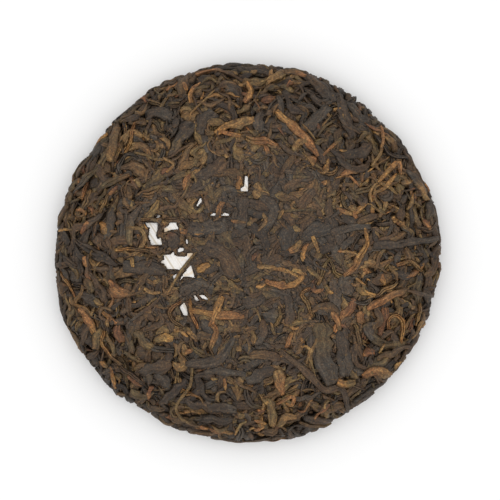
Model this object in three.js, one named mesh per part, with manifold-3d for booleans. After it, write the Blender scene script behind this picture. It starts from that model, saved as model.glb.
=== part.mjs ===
// A round cake of compressed ripe pu erh tea, with the small paper ticket that is pressed in under its top leaves.
// Millimetres, +Z up. The cake lies on its flat back, with the origin under its middle.
import * as THREE from "three";
import { ImprovedNoise } from "three/addons/math/ImprovedNoise.js";
import { mergeVertices } from "three/addons/utils/BufferGeometryUtils.js";
import Module from "manifold-3d";

// Driving dimensions of the cake's plain form.
const meanRadius = 98.4; // of the body, with no leaf on it
const crownHeight = 23.4; // the middle of the domed top, over the table
const crownFall = 7.4; // from the middle down to the shoulder
const crownPower = 2.7; // how long the top stays flat before it falls
const shoulderRadius = 88.8;
const rimDepth = 9.6; // how far the rounded rim swells out past the shoulder
const rimHalfHeight = 7.9;
const backHeight = 0.8; // the body's back over the table, where the leaves on it reach down to
const rimTop = THREE.MathUtils.degToRad(70); // where the top runs into the rim's round
const dimpleRadius = 34; // the hollow that the knot of the cloth bag leaves in the back
const dimpleDepth = 10.5;
const profileSteps = { crown: 12, rim: 8, dimple: 6 }; // points on each stretch of the half section

// The outline is a circle that a few slow swells pull out of round: how many waves, how high, and turned how far.
const swells = [
  { waves: 2, height: 1.0, turn: -18 },
  { waves: 3, height: 0.5, turn: 73 },
  { waves: 4, height: 0.6, turn: -35 },
  { waves: 5, height: 0.3, turn: 37 },
];

// Low relief of the pressed body.
const reliefHeight = 1.3;
const reliefLength = 12;
const fineRelief = { height: 0.4, waves: 2.3 }; // as shares of the plain relief
const bodyDetail = 8; // subdivisions of the ball that the body is shaped from

// Leaves: rolled strips, pressed in, of which the upper half stands out of the body.
const leafSeed = 357;
const leafCount = { top: 70, back: 22 };
const leafReach = { top: 0.49, back: 0.43 }; // how far round the profile they lie, as a share of its length
const leafLength = [16, 33];
const leafWidth = [3.6, 6.8];
const leafSteps = 4;
const leafTip = 0.35; // width at the ends, as a share of the width in the middle
const mostBend = 40; // degrees, to either side
const rimShare = 0.38; // past this share of the profile the leaves lie along the rim
const rimSpread = 25; // degrees that they turn away from it, to either side

// A leaf's section round from its right edge: across as a share of half its width, and the height over the body.
// The edges lie under the surface and the last corner is the root, so that the leaf is fused on.
const leafSection = [
  { across: -1, height: -0.5 },
  { across: -0.5, height: 1.4 },
  { across: 0.4, height: 1.2 },
  { across: 1, height: -0.5 },
  { across: 0, height: -1.5 },
];

// The ticket: a sheet of paper under the top leaves, which shows where they leave a gap.
const ticket = { x: -25.3, y: 2.9, width: 55, height: 74, turn: 2, thickness: 0.3, depth: 1.5 };
const ticketGap = 0.35; // between the ticket and the tea above and below it
const ticketCells = { across: 8, along: 10 };

// The gaps over the ticket, each a few corners.
const gaps = {
  upright: [[-51.8, 15.7], [-45.8, 15.6], [-45.5, 9], [-43.2, 4.6], [-48.6, 4.4], [-50, 9]],
  notch: [[-39.1, 15.7], [-35.8, 15.7], [-34.8, 12.2], [-38.2, 12.2], [-42, 10.2], [-41.8, 13]],
  broad: [[-42.8, -2.4], [-36.8, -0.2], [-35.2, -2.5], [-27.4, -0.8], [-30.2, -4.8], [-34.8, -8.4], [-40.8, -8.2]],
  toe: [[-27.4, -6], [-25.6, -12.6], [-30.6, -12.5], [-32.8, -14.2], [-32.4, -12.2]],
  corner: [[-1, 39], [0.4, 38.8], [0.6, 31.4], [-3, 31.4], [-1.4, 34.4]],
  slit: [[-18.8, 19], [-13.4, 20.6], [-9.2, 19]],
  shard: [[-34, -27.2], [-32, -25], [-30, -29.1], [-30.3, -32.1], [-31.8, -32.2]],
};
const gapClearance = 2.6; // a leaf's middle line stays this far from a gap

// The leaves that stand out: side, middle, heading in degrees, length, width and bend in degrees.
const setLeaves = {
  top: [
    { x: -33, y: -12, heading: 52, length: 46, width: 1.8, bend: -8 },
    { x: -21, y: -26.5, heading: 2, length: 36, width: 4.2, bend: -10 },
    { x: -17, y: -30, heading: 76, length: 34, width: 3.6, bend: -30 },
    { x: 30, y: 61, heading: -38, length: 33, width: 4.4, bend: 10 },
    { x: 4, y: 78, heading: -75, length: 11, width: 3, bend: -60 },
    { x: 52, y: 23, heading: 12, length: 34, width: 5.4, bend: 6 },
    { x: 56, y: -2, heading: 68, length: 26, width: 3.4, bend: 40 },
    { x: 66, y: -30, heading: 30, length: 42, width: 4.6, bend: 10 },
  ],
  back: [{ x: 0, y: -60, heading: 15, length: 34, width: 7.5, bend: 8 }], // the flat one that is named as the rest
};
const setLeafClearance = 9; // a scattered leaf's middle stays this far from a set leaf's
const tableThickness = 20; // of the block that trims the leaves on the back level

const wasm = await Module();
wasm.setup();
const { degToRad, lerp, radToDeg, seededRandom } = THREE.MathUtils;
const noise = new ImprovedNoise();
seededRandom(leafSeed);

// Half of the body's section, from the middle of the top round the rim to the middle of the back, as one curve.
function bodyProfile() {
  const points = [];
  for (let step = 0; step < profileSteps.crown; step++) {
    const r = (shoulderRadius * step) / profileSteps.crown;
    points.push(new THREE.Vector2(r, crownHeight - crownFall * (r / shoulderRadius) ** crownPower));
  }
  for (let step = 0; step <= profileSteps.rim; step++) {
    const turn = lerp(rimTop, -Math.PI / 2, step / profileSteps.rim);
    const r = meanRadius - rimDepth + rimDepth * Math.cos(turn);
    points.push(new THREE.Vector2(r, backHeight + rimHalfHeight + rimHalfHeight * Math.sin(turn)));
  }
  points.push(new THREE.Vector2((meanRadius - rimDepth + dimpleRadius) / 2, backHeight));
  for (let step = 0; step <= profileSteps.dimple; step++) {
    const r = dimpleRadius * (1 - step / profileSteps.dimple);
    const rise = Math.cos((Math.PI / 2) * (r / dimpleRadius)) ** 2;
    points.push(new THREE.Vector2(r, backHeight + dimpleDepth * rise));
  }
  return new THREE.SplineCurve(points);
}

const profile = bodyProfile();
const profileLength = profile.getLength();

function outlineSwell(angle) {
  return swells.reduce((sum, s) => sum + s.height * Math.cos(s.waves * angle + degToRad(s.turn)), 0);
}

// The point of the body at a share of the profile, from 0 on the top to 1 on the back, lifted off the surface.
function bodyPoint(share, angle, lift) {
  const u = THREE.MathUtils.clamp(share, 0, 1);
  const at = profile.getPointAt(u);
  const along = profile.getTangentAt(u);
  const r = at.x * (1 + outlineSwell(angle) / meanRadius) - along.y * lift;
  return new THREE.Vector3(r * Math.cos(angle), r * Math.sin(angle), at.y + along.x * lift);
}

// A point by its distances x and y along the surface from the middle of one side, as if that side were spread flat.
function facePoint(side, x, y, lift) {
  const share = Math.hypot(x, y) / profileLength;
  return bodyPoint(side === "top" ? share : 1 - share, Math.atan2(y, x), lift);
}

function asSolid(geometry) {
  geometry.deleteAttribute("normal");
  geometry.deleteAttribute("uv");
  const merged = mergeVertices(geometry, 1e-4);
  return new wasm.Manifold(
    new wasm.Mesh({
      numProp: 3,
      vertProperties: new Float32Array(merged.attributes.position.array),
      triVerts: new Uint32Array(merged.index.array),
    }),
  );
}

function asGeometry(solid) {
  const { vertProperties, triVerts } = solid.getMesh();
  const geometry = new THREE.BufferGeometry();
  geometry.setAttribute("position", new THREE.BufferAttribute(vertProperties, 3));
  geometry.setIndex(new THREE.BufferAttribute(triVerts, 1));
  return geometry;
}

function geometryOf(points, triangles) {
  return new THREE.BufferGeometry().setFromPoints(points).setIndex(triangles);
}

function relief(point) {
  const coarse = point.clone().divideScalar(reliefLength);
  const fine = coarse.clone().multiplyScalar(fineRelief.waves);
  return reliefHeight * (noise.noise(...coarse) + fineRelief.height * noise.noise(...fine));
}

// The body: a ball whose polar angle is spread along the profile, with the low relief on it.
function bodySolid() {
  const ball = new THREE.IcosahedronGeometry(1, bodyDetail);
  const position = ball.attributes.position;
  for (let i = 0; i < position.count; i++) {
    const v = new THREE.Vector3().fromBufferAttribute(position, i).normalize();
    const share = Math.acos(v.z) / Math.PI;
    const angle = Math.atan2(v.y, v.x);
    position.setXYZ(i, ...bodyPoint(share, angle, relief(bodyPoint(share, angle, 0))));
  }
  return asSolid(ball);
}

// One leaf: a strip along an arc on the surface, ridged on top, narrowing to both ends, and rooted in the body.
function leafSolid(side, leaf) {
  const points = [];
  const triangles = [];
  let { x, y } = leafStart(leaf);
  const step = leaf.length / leafSteps;
  for (let i = 0; i <= leafSteps; i++) {
    const t = i / leafSteps;
    const heading = degToRad(leaf.heading + leaf.bend * (t - 0.5));
    const fullness = lerp(leafTip, 1, Math.sqrt(Math.sin(Math.PI * t)));
    for (const { across, height } of leafSection) {
      const aside = (across * fullness * leaf.width) / 2;
      const lift = height > 0 ? height * fullness : height;
      points.push(facePoint(side, x - Math.sin(heading) * aside, y + Math.cos(heading) * aside, lift));
    }
    x += Math.cos(heading) * step;
    y += Math.sin(heading) * step;
  }
  const ring = leafSection.length;
  for (let i = 0; i < leafSteps; i++) {
    for (let j = 0; j < ring; j++) {
      const [a, b] = [i * ring + j, i * ring + ((j + 1) % ring)];
      triangles.push(a, b, a + ring, b, b + ring, a + ring);
    }
  }
  const last = leafSteps * ring;
  for (let j = 1; j < ring - 1; j++) {
    triangles.push(0, j + 1, j, last, last + j, last + j + 1);
  }
  // The flat chart of the top is a mirror image of the back's, so its faces run the other way.
  return asSolid(geometryOf(points, side === "top" ? triangles.reverse() : triangles));
}

// Where a leaf's middle line begins, half its length back from its middle.
function leafStart(leaf) {
  const heading = degToRad(leaf.heading - leaf.bend / 4);
  const half = leaf.length / 2;
  return { x: leaf.x - Math.cos(heading) * half, y: leaf.y - Math.sin(heading) * half };
}

function distanceToGap(x, y, corners) {
  const point = new THREE.Vector3(x, y, 0);
  const nearest = new THREE.Vector3();
  return Math.min(
    ...corners.map((corner, i) => {
      const next = corners[(i + 1) % corners.length];
      const edge = new THREE.Line3(new THREE.Vector3(...corner, 0), new THREE.Vector3(...next, 0));
      return edge.closestPointToPoint(point, true, nearest).distanceTo(point);
    }),
  );
}

function crossesGap(leaf) {
  const heading = degToRad(leaf.heading);
  for (let along = -leaf.length / 2; along <= leaf.length / 2; along += gapClearance) {
    const [x, y] = [leaf.x + Math.cos(heading) * along, leaf.y + Math.sin(heading) * along];
    if (Object.values(gaps).some((corners) => distanceToGap(x, y, corners) < gapClearance)) {
      return true;
    }
  }
  return false;
}

// The leaves of one side: the set ones, and the scattered ones in an even spiral between them.
function leavesOf(side) {
  const leaves = [...setLeaves[side]];
  const goldenTurn = Math.PI * (3 - Math.sqrt(5));
  for (let i = 0; i < leafCount[side]; i++) {
    const distance = profileLength * leafReach[side] * Math.sqrt((i + seededRandom()) / leafCount[side]);
    const angle = goldenTurn * i;
    const alongRim = distance > rimShare * profileLength;
    const rimHeading = radToDeg(angle) + 90;
    const turn = seededRandom();
    const heading = alongRim ? rimHeading + lerp(-rimSpread, rimSpread, turn) : 360 * turn;
    const length = lerp(...leafLength, seededRandom());
    const leaf = {
      x: distance * Math.cos(angle),
      y: distance * Math.sin(angle),
      heading,
      length,
      width: lerp(...leafWidth, seededRandom()),
      bend: alongRim ? radToDeg(length / distance) : lerp(-mostBend, mostBend, seededRandom()),
    };
    const near = setLeaves[side].some((set) => Math.hypot(set.x - leaf.x, set.y - leaf.y) < setLeafClearance);
    if (!near && !(side === "top" && crossesGap(leaf))) {
      leaves.push(leaf);
    }
  }
  return leaves;
}

// A sheet that follows the top at a depth: the ticket itself, or the slot that it lies in.
function sheetGeometry(grow, upper, lower) {
  const { across, along } = ticketCells;
  const sheet = new THREE.BoxGeometry(ticket.width + 2 * grow, ticket.height + 2 * grow, 1, across, along, 1);
  sheet.rotateZ(degToRad(ticket.turn)).translate(ticket.x, ticket.y, 0);
  const position = sheet.attributes.position;
  for (let i = 0; i < position.count; i++) {
    const depth = position.getZ(i) > 0 ? upper : lower;
    const [x, y] = [position.getX(i), position.getY(i)];
    position.setZ(i, facePoint("top", x, y, 0).z - depth);
  }
  return sheet;
}

function gapSolid(corners) {
  const outline = new THREE.Shape(corners.map(([x, y]) => new THREE.Vector2(x, y)));
  const cut = new THREE.ExtrudeGeometry(outline, { depth: 3 * ticket.depth, bevelEnabled: false });
  const floor = Math.min(...corners.map(([x, y]) => facePoint("top", x, y, 0).z)) - ticket.depth;
  return asSolid(cut.translate(0, 0, floor));
}

// The main piece of a solid, without loose scraps and with sealed hollows filled.
function largestPiece(solid) {
  return solid.decompose().reduce((most, piece) => (piece.volume() > most.volume() ? piece : most));
}

function cakeSolid() {
  const leaves = ["top", "back"].flatMap((side) => leavesOf(side).map((leaf) => leafSolid(side, leaf)));
  const ticketBack = ticket.depth + ticket.thickness;
  const slot = asSolid(sheetGeometry(ticketGap, ticket.depth - ticketGap, ticketBack + ticketGap));
  const tableTop = new THREE.BoxGeometry(3 * meanRadius, 3 * meanRadius, tableThickness);
  const table = asSolid(tableTop.translate(0, 0, -tableThickness / 2));
  const whole = largestPiece(wasm.Manifold.union([bodySolid(), ...leaves]));
  return largestPiece(wasm.Manifold.difference([whole, slot, ...Object.values(gaps).map(gapSolid), table]));
}

const teaMaterial = new THREE.MeshStandardMaterial({ color: 0x3a2e22, roughness: 0.7, metalness: 0 });
const paperMaterial = new THREE.MeshStandardMaterial({ color: 0xf2eee6, roughness: 0.9, metalness: 0 });

const teaCake = new THREE.Mesh(asGeometry(cakeSolid()), teaMaterial);
teaCake.name = "tea_cake";

const ticketSheet = sheetGeometry(0, ticket.depth, ticket.depth + ticket.thickness);
const paperTicket = new THREE.Mesh(ticketSheet, paperMaterial);
paperTicket.name = "paper_ticket";

// The origin lies under the middle of the whole.
const part = new THREE.Group().add(teaCake, paperTicket);
const middle = new THREE.Box3().setFromObject(part).getCenter(new THREE.Vector3());
part.position.set(-middle.x, -middle.y, 0);

export default part;
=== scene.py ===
import math

import bmesh
import bpy
import numpy as np
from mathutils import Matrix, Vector, noise


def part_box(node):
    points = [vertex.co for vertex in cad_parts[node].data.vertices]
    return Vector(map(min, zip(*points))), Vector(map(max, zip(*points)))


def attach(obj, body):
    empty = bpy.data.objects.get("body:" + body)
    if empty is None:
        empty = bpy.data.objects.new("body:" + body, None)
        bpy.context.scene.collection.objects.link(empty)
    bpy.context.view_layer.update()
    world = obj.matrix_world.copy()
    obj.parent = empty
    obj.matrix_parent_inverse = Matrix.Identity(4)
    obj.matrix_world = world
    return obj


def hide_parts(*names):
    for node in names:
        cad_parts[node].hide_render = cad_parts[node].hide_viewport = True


# A pressed cake of ripe tea: leaves of several kinds are laid one by one over a dark core and then pressed.
# Sizes below are in millimetres and angles in degrees. Blender's own unit is the metre.

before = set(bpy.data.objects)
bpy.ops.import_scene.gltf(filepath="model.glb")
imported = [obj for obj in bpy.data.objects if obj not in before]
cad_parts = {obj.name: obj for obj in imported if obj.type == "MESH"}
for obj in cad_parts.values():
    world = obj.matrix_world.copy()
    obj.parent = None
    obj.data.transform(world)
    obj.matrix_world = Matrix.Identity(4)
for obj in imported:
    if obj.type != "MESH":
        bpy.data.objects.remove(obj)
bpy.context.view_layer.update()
boxLow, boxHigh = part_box("tea_cake")
mm = 0.001
rng = np.random.default_rng(357)
print("stage: frame loaded")

leafDepth = {"side": 1.6, "top": 1.4}  # how far the leaves stand out past the plain form
cakeForm = {
    "meanRadius": (boxHigh.x - boxLow.x + boxHigh.y - boxLow.y) / 4 / mm - leafDepth["side"],
    "crownHeight": boxHigh.z / mm - leafDepth["top"],
    "crownFall": 7.4,  # from the middle of the top down to the shoulder
    "crownPower": 2.7,
    "shoulderRadius": 88.8,
    "rimDepth": 9.6,
    "rimHalfHeight": 7.9,
    "rimTop": 70,
    "backHeight": 0.8,
    "dimpleRadius": 34,
    "dimpleDepth": 10.5,
    "swells": ((2, 1.0, -18), (3, 0.5, 73), (4, 0.6, -35), (5, 0.12, 37)),  # waves, height, turn
    "middle": (-0.86, -0.5),
    "steps": {"crown": 12, "rim": 9, "dimple": 6, "span": 24},  # points of each stretch, cuts of each span
}


def bodyProfile(form):
    # Half of the section, from the middle of the top round the rim to the middle of the back.
    points, steps = [], form["steps"]
    for step in range(steps["crown"]):
        r = form["shoulderRadius"] * step / steps["crown"]
        fall = form["crownFall"] * (step / steps["crown"]) ** form["crownPower"]
        points.append((r, form["crownHeight"] - fall))
    for turn in np.radians(np.linspace(form["rimTop"], -90, steps["rim"])):
        r = form["meanRadius"] + form["rimDepth"] * (math.cos(turn) - 1)
        points.append((r, form["backHeight"] + form["rimHalfHeight"] * (1 + math.sin(turn))))
    points.append(((form["meanRadius"] - form["rimDepth"] + form["dimpleRadius"]) / 2, form["backHeight"]))
    for step in range(steps["dimple"] + 1):
        share = 1 - step / steps["dimple"]
        rise = math.cos(math.pi / 2 * share) ** 2
        points.append((form["dimpleRadius"] * share, form["backHeight"] + form["dimpleDepth"] * rise))
    return smoothCurve(points, steps["span"])


def smoothCurve(points, cuts):
    # A curve through all the points, as many cuts to each span.
    p = np.array(points, float)
    p = np.vstack((2 * p[0] - p[1], p, 2 * p[-1] - p[-2]))
    t = (np.arange(cuts) / cuts)[:, None]
    spans = []
    for a, b, c, d in zip(p, p[1:], p[2:], p[3:]):
        span = 2 * b + (c - a) * t + (2 * a - 5 * b + 4 * c - d) * t**2
        spans.append(0.5 * (span + (3 * b - a - 3 * c + d) * t**3))
    return np.vstack((*spans, p[-2][None]))


profile = bodyProfile(cakeForm)
profileAt = np.concatenate(((0,), np.cumsum(np.hypot(*np.diff(profile, axis=0).T))))
profileLength = profileAt[-1]
profileSlope = np.gradient(profile, profileAt, axis=0)
profileSlope /= np.hypot(*profileSlope.T)[:, None]


def outlineSwell(angle):
    swells = cakeForm["swells"]
    return sum(height * np.cos(waves * angle + math.radians(turn)) for waves, height, turn in swells)


def onBody(side, x, y, lift):
    # From the flat chart of one side, where x and y are distances along the surface, to the real place.
    distance = np.minimum(np.hypot(x, y), profileLength)
    angle = np.arctan2(y, x)
    at = distance if side == "top" else profileLength - distance
    r = np.interp(at, profileAt, profile[:, 0])
    z = np.interp(at, profileAt, profile[:, 1])
    slopeR = np.interp(at, profileAt, profileSlope[:, 0])
    slopeZ = np.interp(at, profileAt, profileSlope[:, 1])
    r = r * (1 + outlineSwell(angle) / cakeForm["meanRadius"]) - slopeZ * lift
    z = z + slopeR * lift
    middleX, middleY = cakeForm["middle"]
    return np.stack((r * np.cos(angle) + middleX, r * np.sin(angle) + middleY, z), axis=-1)


undulation = {"height": 0.55, "shortest": 20, "longest": 42, "waves": 14}
waveTurn = rng.normal(size=(undulation["waves"], 3))
waveTurn /= np.linalg.norm(waveTurn, axis=1)[:, None]
waveLength = rng.uniform(undulation["shortest"], undulation["longest"], undulation["waves"])
waveStart = rng.uniform(0, 2 * math.pi, undulation["waves"])


def undulate(places):
    # Low swells of the pressed surface, the same from whichever chart a place is reached.
    waves = places @ (waveTurn * (2 * math.pi / waveLength)[:, None]).T + waveStart
    return undulation["height"] * np.sin(waves).sum(axis=-1) / math.sqrt(undulation["waves"] / 2)


# The pile of leaves, as a height over each side's chart.
pile = {"half": 126.0, "pitch": 0.5}
pile["size"] = int(2 * pile["half"] / pile["pitch"])
pileTop = {side: np.zeros((pile["size"], pile["size"])) for side in ("top", "back")}
keptOpen = {side: np.zeros((pile["size"], pile["size"]), bool) for side in ("top", "back")}


def cells(x, y):
    def cell(v):
        return np.clip(((v + pile["half"]) / pile["pitch"]).astype(int), 0, pile["size"] - 1)

    return cell(y), cell(x)


def otherChart(x, y):
    # The same place on the other side's chart.
    distance = np.maximum(np.hypot(x, y), 1e-6)
    return x * (profileLength / distance - 1), y * (profileLength / distance - 1)


def raisePile(side, x, y, z):
    at = cells(x, y)
    pileTop[side][at] = np.maximum(pileTop[side][at], z)
    otherX, otherY = otherChart(x, y)
    near = (np.abs(otherX) < pile["half"]) & (np.abs(otherY) < pile["half"])
    if near.any():
        other = "back" if side == "top" else "top"
        at = cells(otherX[near], otherY[near])
        pileTop[other][at] = np.maximum(pileTop[other][at], z[near])


def blurred(values, radius):
    # A soft blur of a whole chart, with the radius in millimetres.
    waves = np.fft.fftfreq(values.shape[0])[:, None] ** 2 + np.fft.rfftfreq(values.shape[1])[None] ** 2
    reach = 2 * (math.pi * radius / pile["pitch"]) ** 2
    return np.fft.irfft2(np.fft.rfft2(values) * np.exp(-reach * waves), values.shape)


def inside(x, y, corners):
    within = np.zeros(np.shape(x), bool)
    for (ax, ay), (bx, by) in zip(corners, corners[1:] + corners[:1]):
        crosses = (ay > y) != (by > y)
        within ^= crosses & (x < (bx - ax) * (y - ay) / ((by - ay) or 1e-9) + ax)
    return within


# Where the top leaves leave a gap and the paper ticket shows.
ticketGaps = {
    "upright": [(-53, 15.3), (-46.5, 15.2), (-46.6, 11.5), (-47.3, 8.9), (-46.8, 7.5), (-45.8, 6.9),
                (-44.9, 8), (-44.2, 4), (-49.6, 3.9), (-51.1, 8.2), (-50.4, 12.8), (-51.8, 13)],
    "notch": [(-40.1, 15.3), (-36.9, 15.3), (-36.6, 13.9), (-35.8, 11.8), (-39.6, 11.7), (-41.6, 11),
              (-42.8, 10.1), (-43.2, 12.3), (-40.9, 13.6)],
    "broad": [(-43.5, -1.3), (-40.1, -1.1), (-38.6, 0.5), (-37.7, -1.3), (-36.4, -2), (-32.7, -2.2),
              (-31.5, -1.8), (-31.2, -0.4), (-28.5, -0.1), (-28.4, -1.8), (-31.2, -4.7), (-35.1, -8.9),
              (-36.2, -8.5), (-41.6, -8.4), (-43.3, -5.5), (-44.2, -5.5), (-45, -5), (-44.7, -4.3),
              (-43, -3.7)],
    "toe": [(-29.3, -6.5), (-28.5, -9.2), (-27.4, -12.8), (-30.6, -12.3), (-33.3, -12.3), (-34.5, -14.1),
            (-35.1, -13.9), (-33.3, -11), (-31.2, -8.4)],
    "sliver": [(-36.7, -10.8), (-37.5, -13.8), (-38.7, -13.8), (-38.6, -11.8)],
    "corner": [(-1.7, 39.2), (-0.3, 38.8), (-0.2, 31.3), (-3.9, 31.3), (-4, 32.9), (-2.2, 33.9)],
    "slit": [(-19.8, 18.9), (-18.2, 20.1), (-16.7, 20), (-16.9, 18.8)],
    "slitTwo": [(-14, 18.9), (-12.3, 20.3), (-9.8, 19.5), (-10, 18.7)],
    "shard": [(-35.4, -27.8), (-33.1, -25.4), (-31.7, -28), (-31.2, -30.9), (-31.4, -32.4),
              (-33.3, -32.1), (-34.4, -29.9)],
    "chip": [(-28.1, -22), (-27, -21.9), (-25.2, -24.4), (-25.9, -24.9), (-27.2, -23.9)],
    "chipTwo": [(-25.2, -21.7), (-23.2, -21.7), (-20.8, -23.3), (-21.2, -24.1), (-23.5, -23.5)],
    "chipThree": [(-24.6, 27.9), (-23.8, 26.5), (-25.6, 23.9), (-26.5, 23.7), (-25.8, 25.8)],
    "chipFour": [(-36.4, 0.7), (-35.1, 2.4), (-32.9, 2.2), (-33.3, 0.9), (-35.5, 0.1)],
    "chipFive": [(-32, 6.8), (-31.2, 6.7), (-30.9, 4.6), (-31.8, 4.5)],
    "speck": [(-47.8, 18), (-46, 19.2), (-45.2, 18.8), (-46, 17.6)],
    "speckTwo": [(-31.3, -36), (-30, -36.4), (-30.2, -37.6), (-31.3, -37.3)],
}
cellMiddles = (np.arange(pile["size"]) + 0.5) * pile["pitch"] - pile["half"]
cellX, cellY = np.meshgrid(cellMiddles, cellMiddles)


def onChart(x, y):
    # A place seen from straight above, as a point of the top's chart.
    x, y = x - cakeForm["middle"][0], y - cakeForm["middle"][1]
    r, angle = math.hypot(x, y), math.atan2(y, x)
    widest = int(profile[:, 0].argmax())
    plain = r / (1 + outlineSwell(angle) / cakeForm["meanRadius"])
    distance = np.interp(plain, profile[:widest, 0], profileAt[:widest])
    return distance * math.cos(angle), distance * math.sin(angle)


# The part of the top's chart that lies over the ticket.
pocket = {"x": -25.5, "y": 3, "halfWidth": 29, "halfHeight": 38}


def overTicket(x, y, margin=(0, 0)):
    near = np.abs(x - pocket["x"]) < pocket["halfWidth"] + margin[0]
    return near & (np.abs(y - pocket["y"]) < pocket["halfHeight"] + margin[1])


gapOutlines = [[onChart(x, y) for x, y in corners] for corners in ticketGaps.values()]
for corners in gapOutlines:
    keptOpen["top"] |= inside(cellX, cellY, corners)


def screenTone(red, green, blue):
    # A colour as seen on a screen, turned into the linear one that shaders take.
    c = np.array((red, green, blue)) / 255
    return np.where(c <= 0.04045, c / 12.92, ((c + 0.055) / 1.055) ** 2.4)  # the sRGB curve


tones = {
    "coal": screenTone(60, 47, 36),
    "charcoal": screenTone(69, 57, 46),
    "slate": screenTone(72, 63, 54),
    "umber": screenTone(83, 63, 44),
    "bark": screenTone(100, 76, 49),
    "moss": screenTone(90, 74, 50),
    "olive": screenTone(109, 88, 55),
    "tan": screenTone(127, 99, 63),
    "amber": screenTone(143, 106, 62),
    "copper": screenTone(136, 96, 60),
    "rust": screenTone(112, 75, 49),
    "gold": screenTone(157, 122, 73),
}
nearTones = {
    "coal": ("coal", "charcoal", "umber"),
    "charcoal": ("charcoal", "slate", "umber"),
    "slate": ("charcoal", "slate", "moss"),
    "umber": ("charcoal", "umber", "bark"),
    "bark": ("umber", "olive", "bark"),
    "moss": ("charcoal", "olive", "umber"),
    "olive": ("moss", "bark", "tan"),
    "tan": ("bark", "olive", "amber"),
    "amber": ("bark", "copper", "tan"),
    "copper": ("rust", "amber", "bark"),
    "rust": ("umber", "copper", "charcoal"),
    "gold": ("amber", "tan", "olive"),
}

# Kinds of leaf, one piece each on the top and on the back.
leafKinds = {
    "flat_leaves": {
        "finish": "pressed flat leaf",
        "length": (9, 24), "width": (4.4, 9.5), "thickness": (0.5, 0.85), "roundness": 6, "bend": 110,
        "kink": 12, "edge": (0.55, 1.2), "ridges": (1.4, 3.4), "ridgeHeight": 0.3, "twist": 0.4,
        "tips": (0.12, 0.8), "taper": (0.15, 0.55), "stiffness": 0.3, "across": 10, "step": 1.6,
        "tones": {"charcoal": 34, "slate": 16, "umber": 21, "moss": 10, "bark": 9, "coal": 6,
                  "olive": 3, "rust": 1},
    },
    "rolled_leaves": {
        "finish": "rolled leaf",
        "length": (9, 26), "width": (2.8, 6.4), "thickness": (0.8, 1.5), "roundness": 4.2, "bend": 220,
        "kink": 15, "edge": (0.55, 1.25), "ridges": (1.3, 3), "ridgeHeight": 0.46, "twist": 1.4,
        "tips": (0.05, 0.65), "taper": (0.16, 0.6), "stiffness": 0.5, "across": 10, "step": 1.62,
        "tones": {"charcoal": 20, "slate": 8, "umber": 24, "coal": 9, "bark": 19, "moss": 8, "olive": 8,
                  "tan": 5, "copper": 1, "rust": 1},
    },
    "thin_strips": {
        "finish": "leaf strips",
        "length": (5, 19), "width": (1.4, 3.4), "thickness": (0.5, 1.0), "roundness": 3.6, "bend": 260,
        "kink": 18, "edge": (0.55, 1.3), "ridges": (0.6, 1.7), "ridgeHeight": 0.26, "twist": 1.1,
        "tips": (0.05, 0.6), "taper": (0.16, 0.55), "stiffness": 0.4, "across": 6, "step": 1.2,
        "tones": {"umber": 24, "charcoal": 14, "bark": 25, "olive": 15, "tan": 11, "copper": 2,
                  "rust": 2, "coal": 7},
    },
    "leaf_buds": {
        "finish": "golden buds",
        "length": (4, 14), "width": (1.7, 3.6), "thickness": (0.6, 1.1), "roundness": 3.4, "bend": 200,
        "kink": 18, "edge": (0.55, 1.25), "ridges": (0.8, 2.0), "ridgeHeight": 0.26, "twist": 0.7,
        "tips": (0.05, 0.6), "taper": (0.2, 0.6), "stiffness": 0.45, "across": 6, "step": 1.1,
        "tones": {"amber": 26, "copper": 20, "tan": 28, "gold": 4, "rust": 9, "olive": 13},
    },
    "stems": {
        "finish": "leaf stems",
        "length": (9, 24), "width": (1.0, 1.8), "thickness": (0.8, 1.2), "roundness": 2, "bend": 60,
        "kink": 9, "edge": (0.85, 1.1), "ridges": (0.5, 1), "ridgeHeight": 0.06, "twist": 0.2,
        "tips": (0.6, 0.9), "taper": (0.05, 0.2), "stiffness": 0.8, "across": 4, "step": 1.9,
        "tones": {"umber": 34, "bark": 36, "olive": 24, "tan": 6},
    },
    "flakes": {
        "finish": "leaf flakes",
        "length": (2.2, 8), "width": (1.5, 5), "thickness": (0.35, 0.8), "roundness": 5, "bend": 100,
        "kink": 20, "edge": (0.45, 1.3), "ridges": (0.7, 2.2), "ridgeHeight": 0.28, "twist": 0.6,
        "tips": (0.15, 0.8), "taper": (0.2, 0.55), "stiffness": 0.3, "across": 6, "step": 1.0,
        "tones": {"charcoal": 24, "umber": 25, "bark": 17, "olive": 11, "tan": 6, "moss": 8, "amber": 1,
                  "coal": 8},
    },
}
flat, rolled, strip, bud, stem, flake = leafKinds
darkTones = ("coal", "charcoal", "slate")
brightTones = {"names": ("olive", "tan", "amber", "copper", "rust", "gold"), "share": (0.5, 1.5)}
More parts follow.
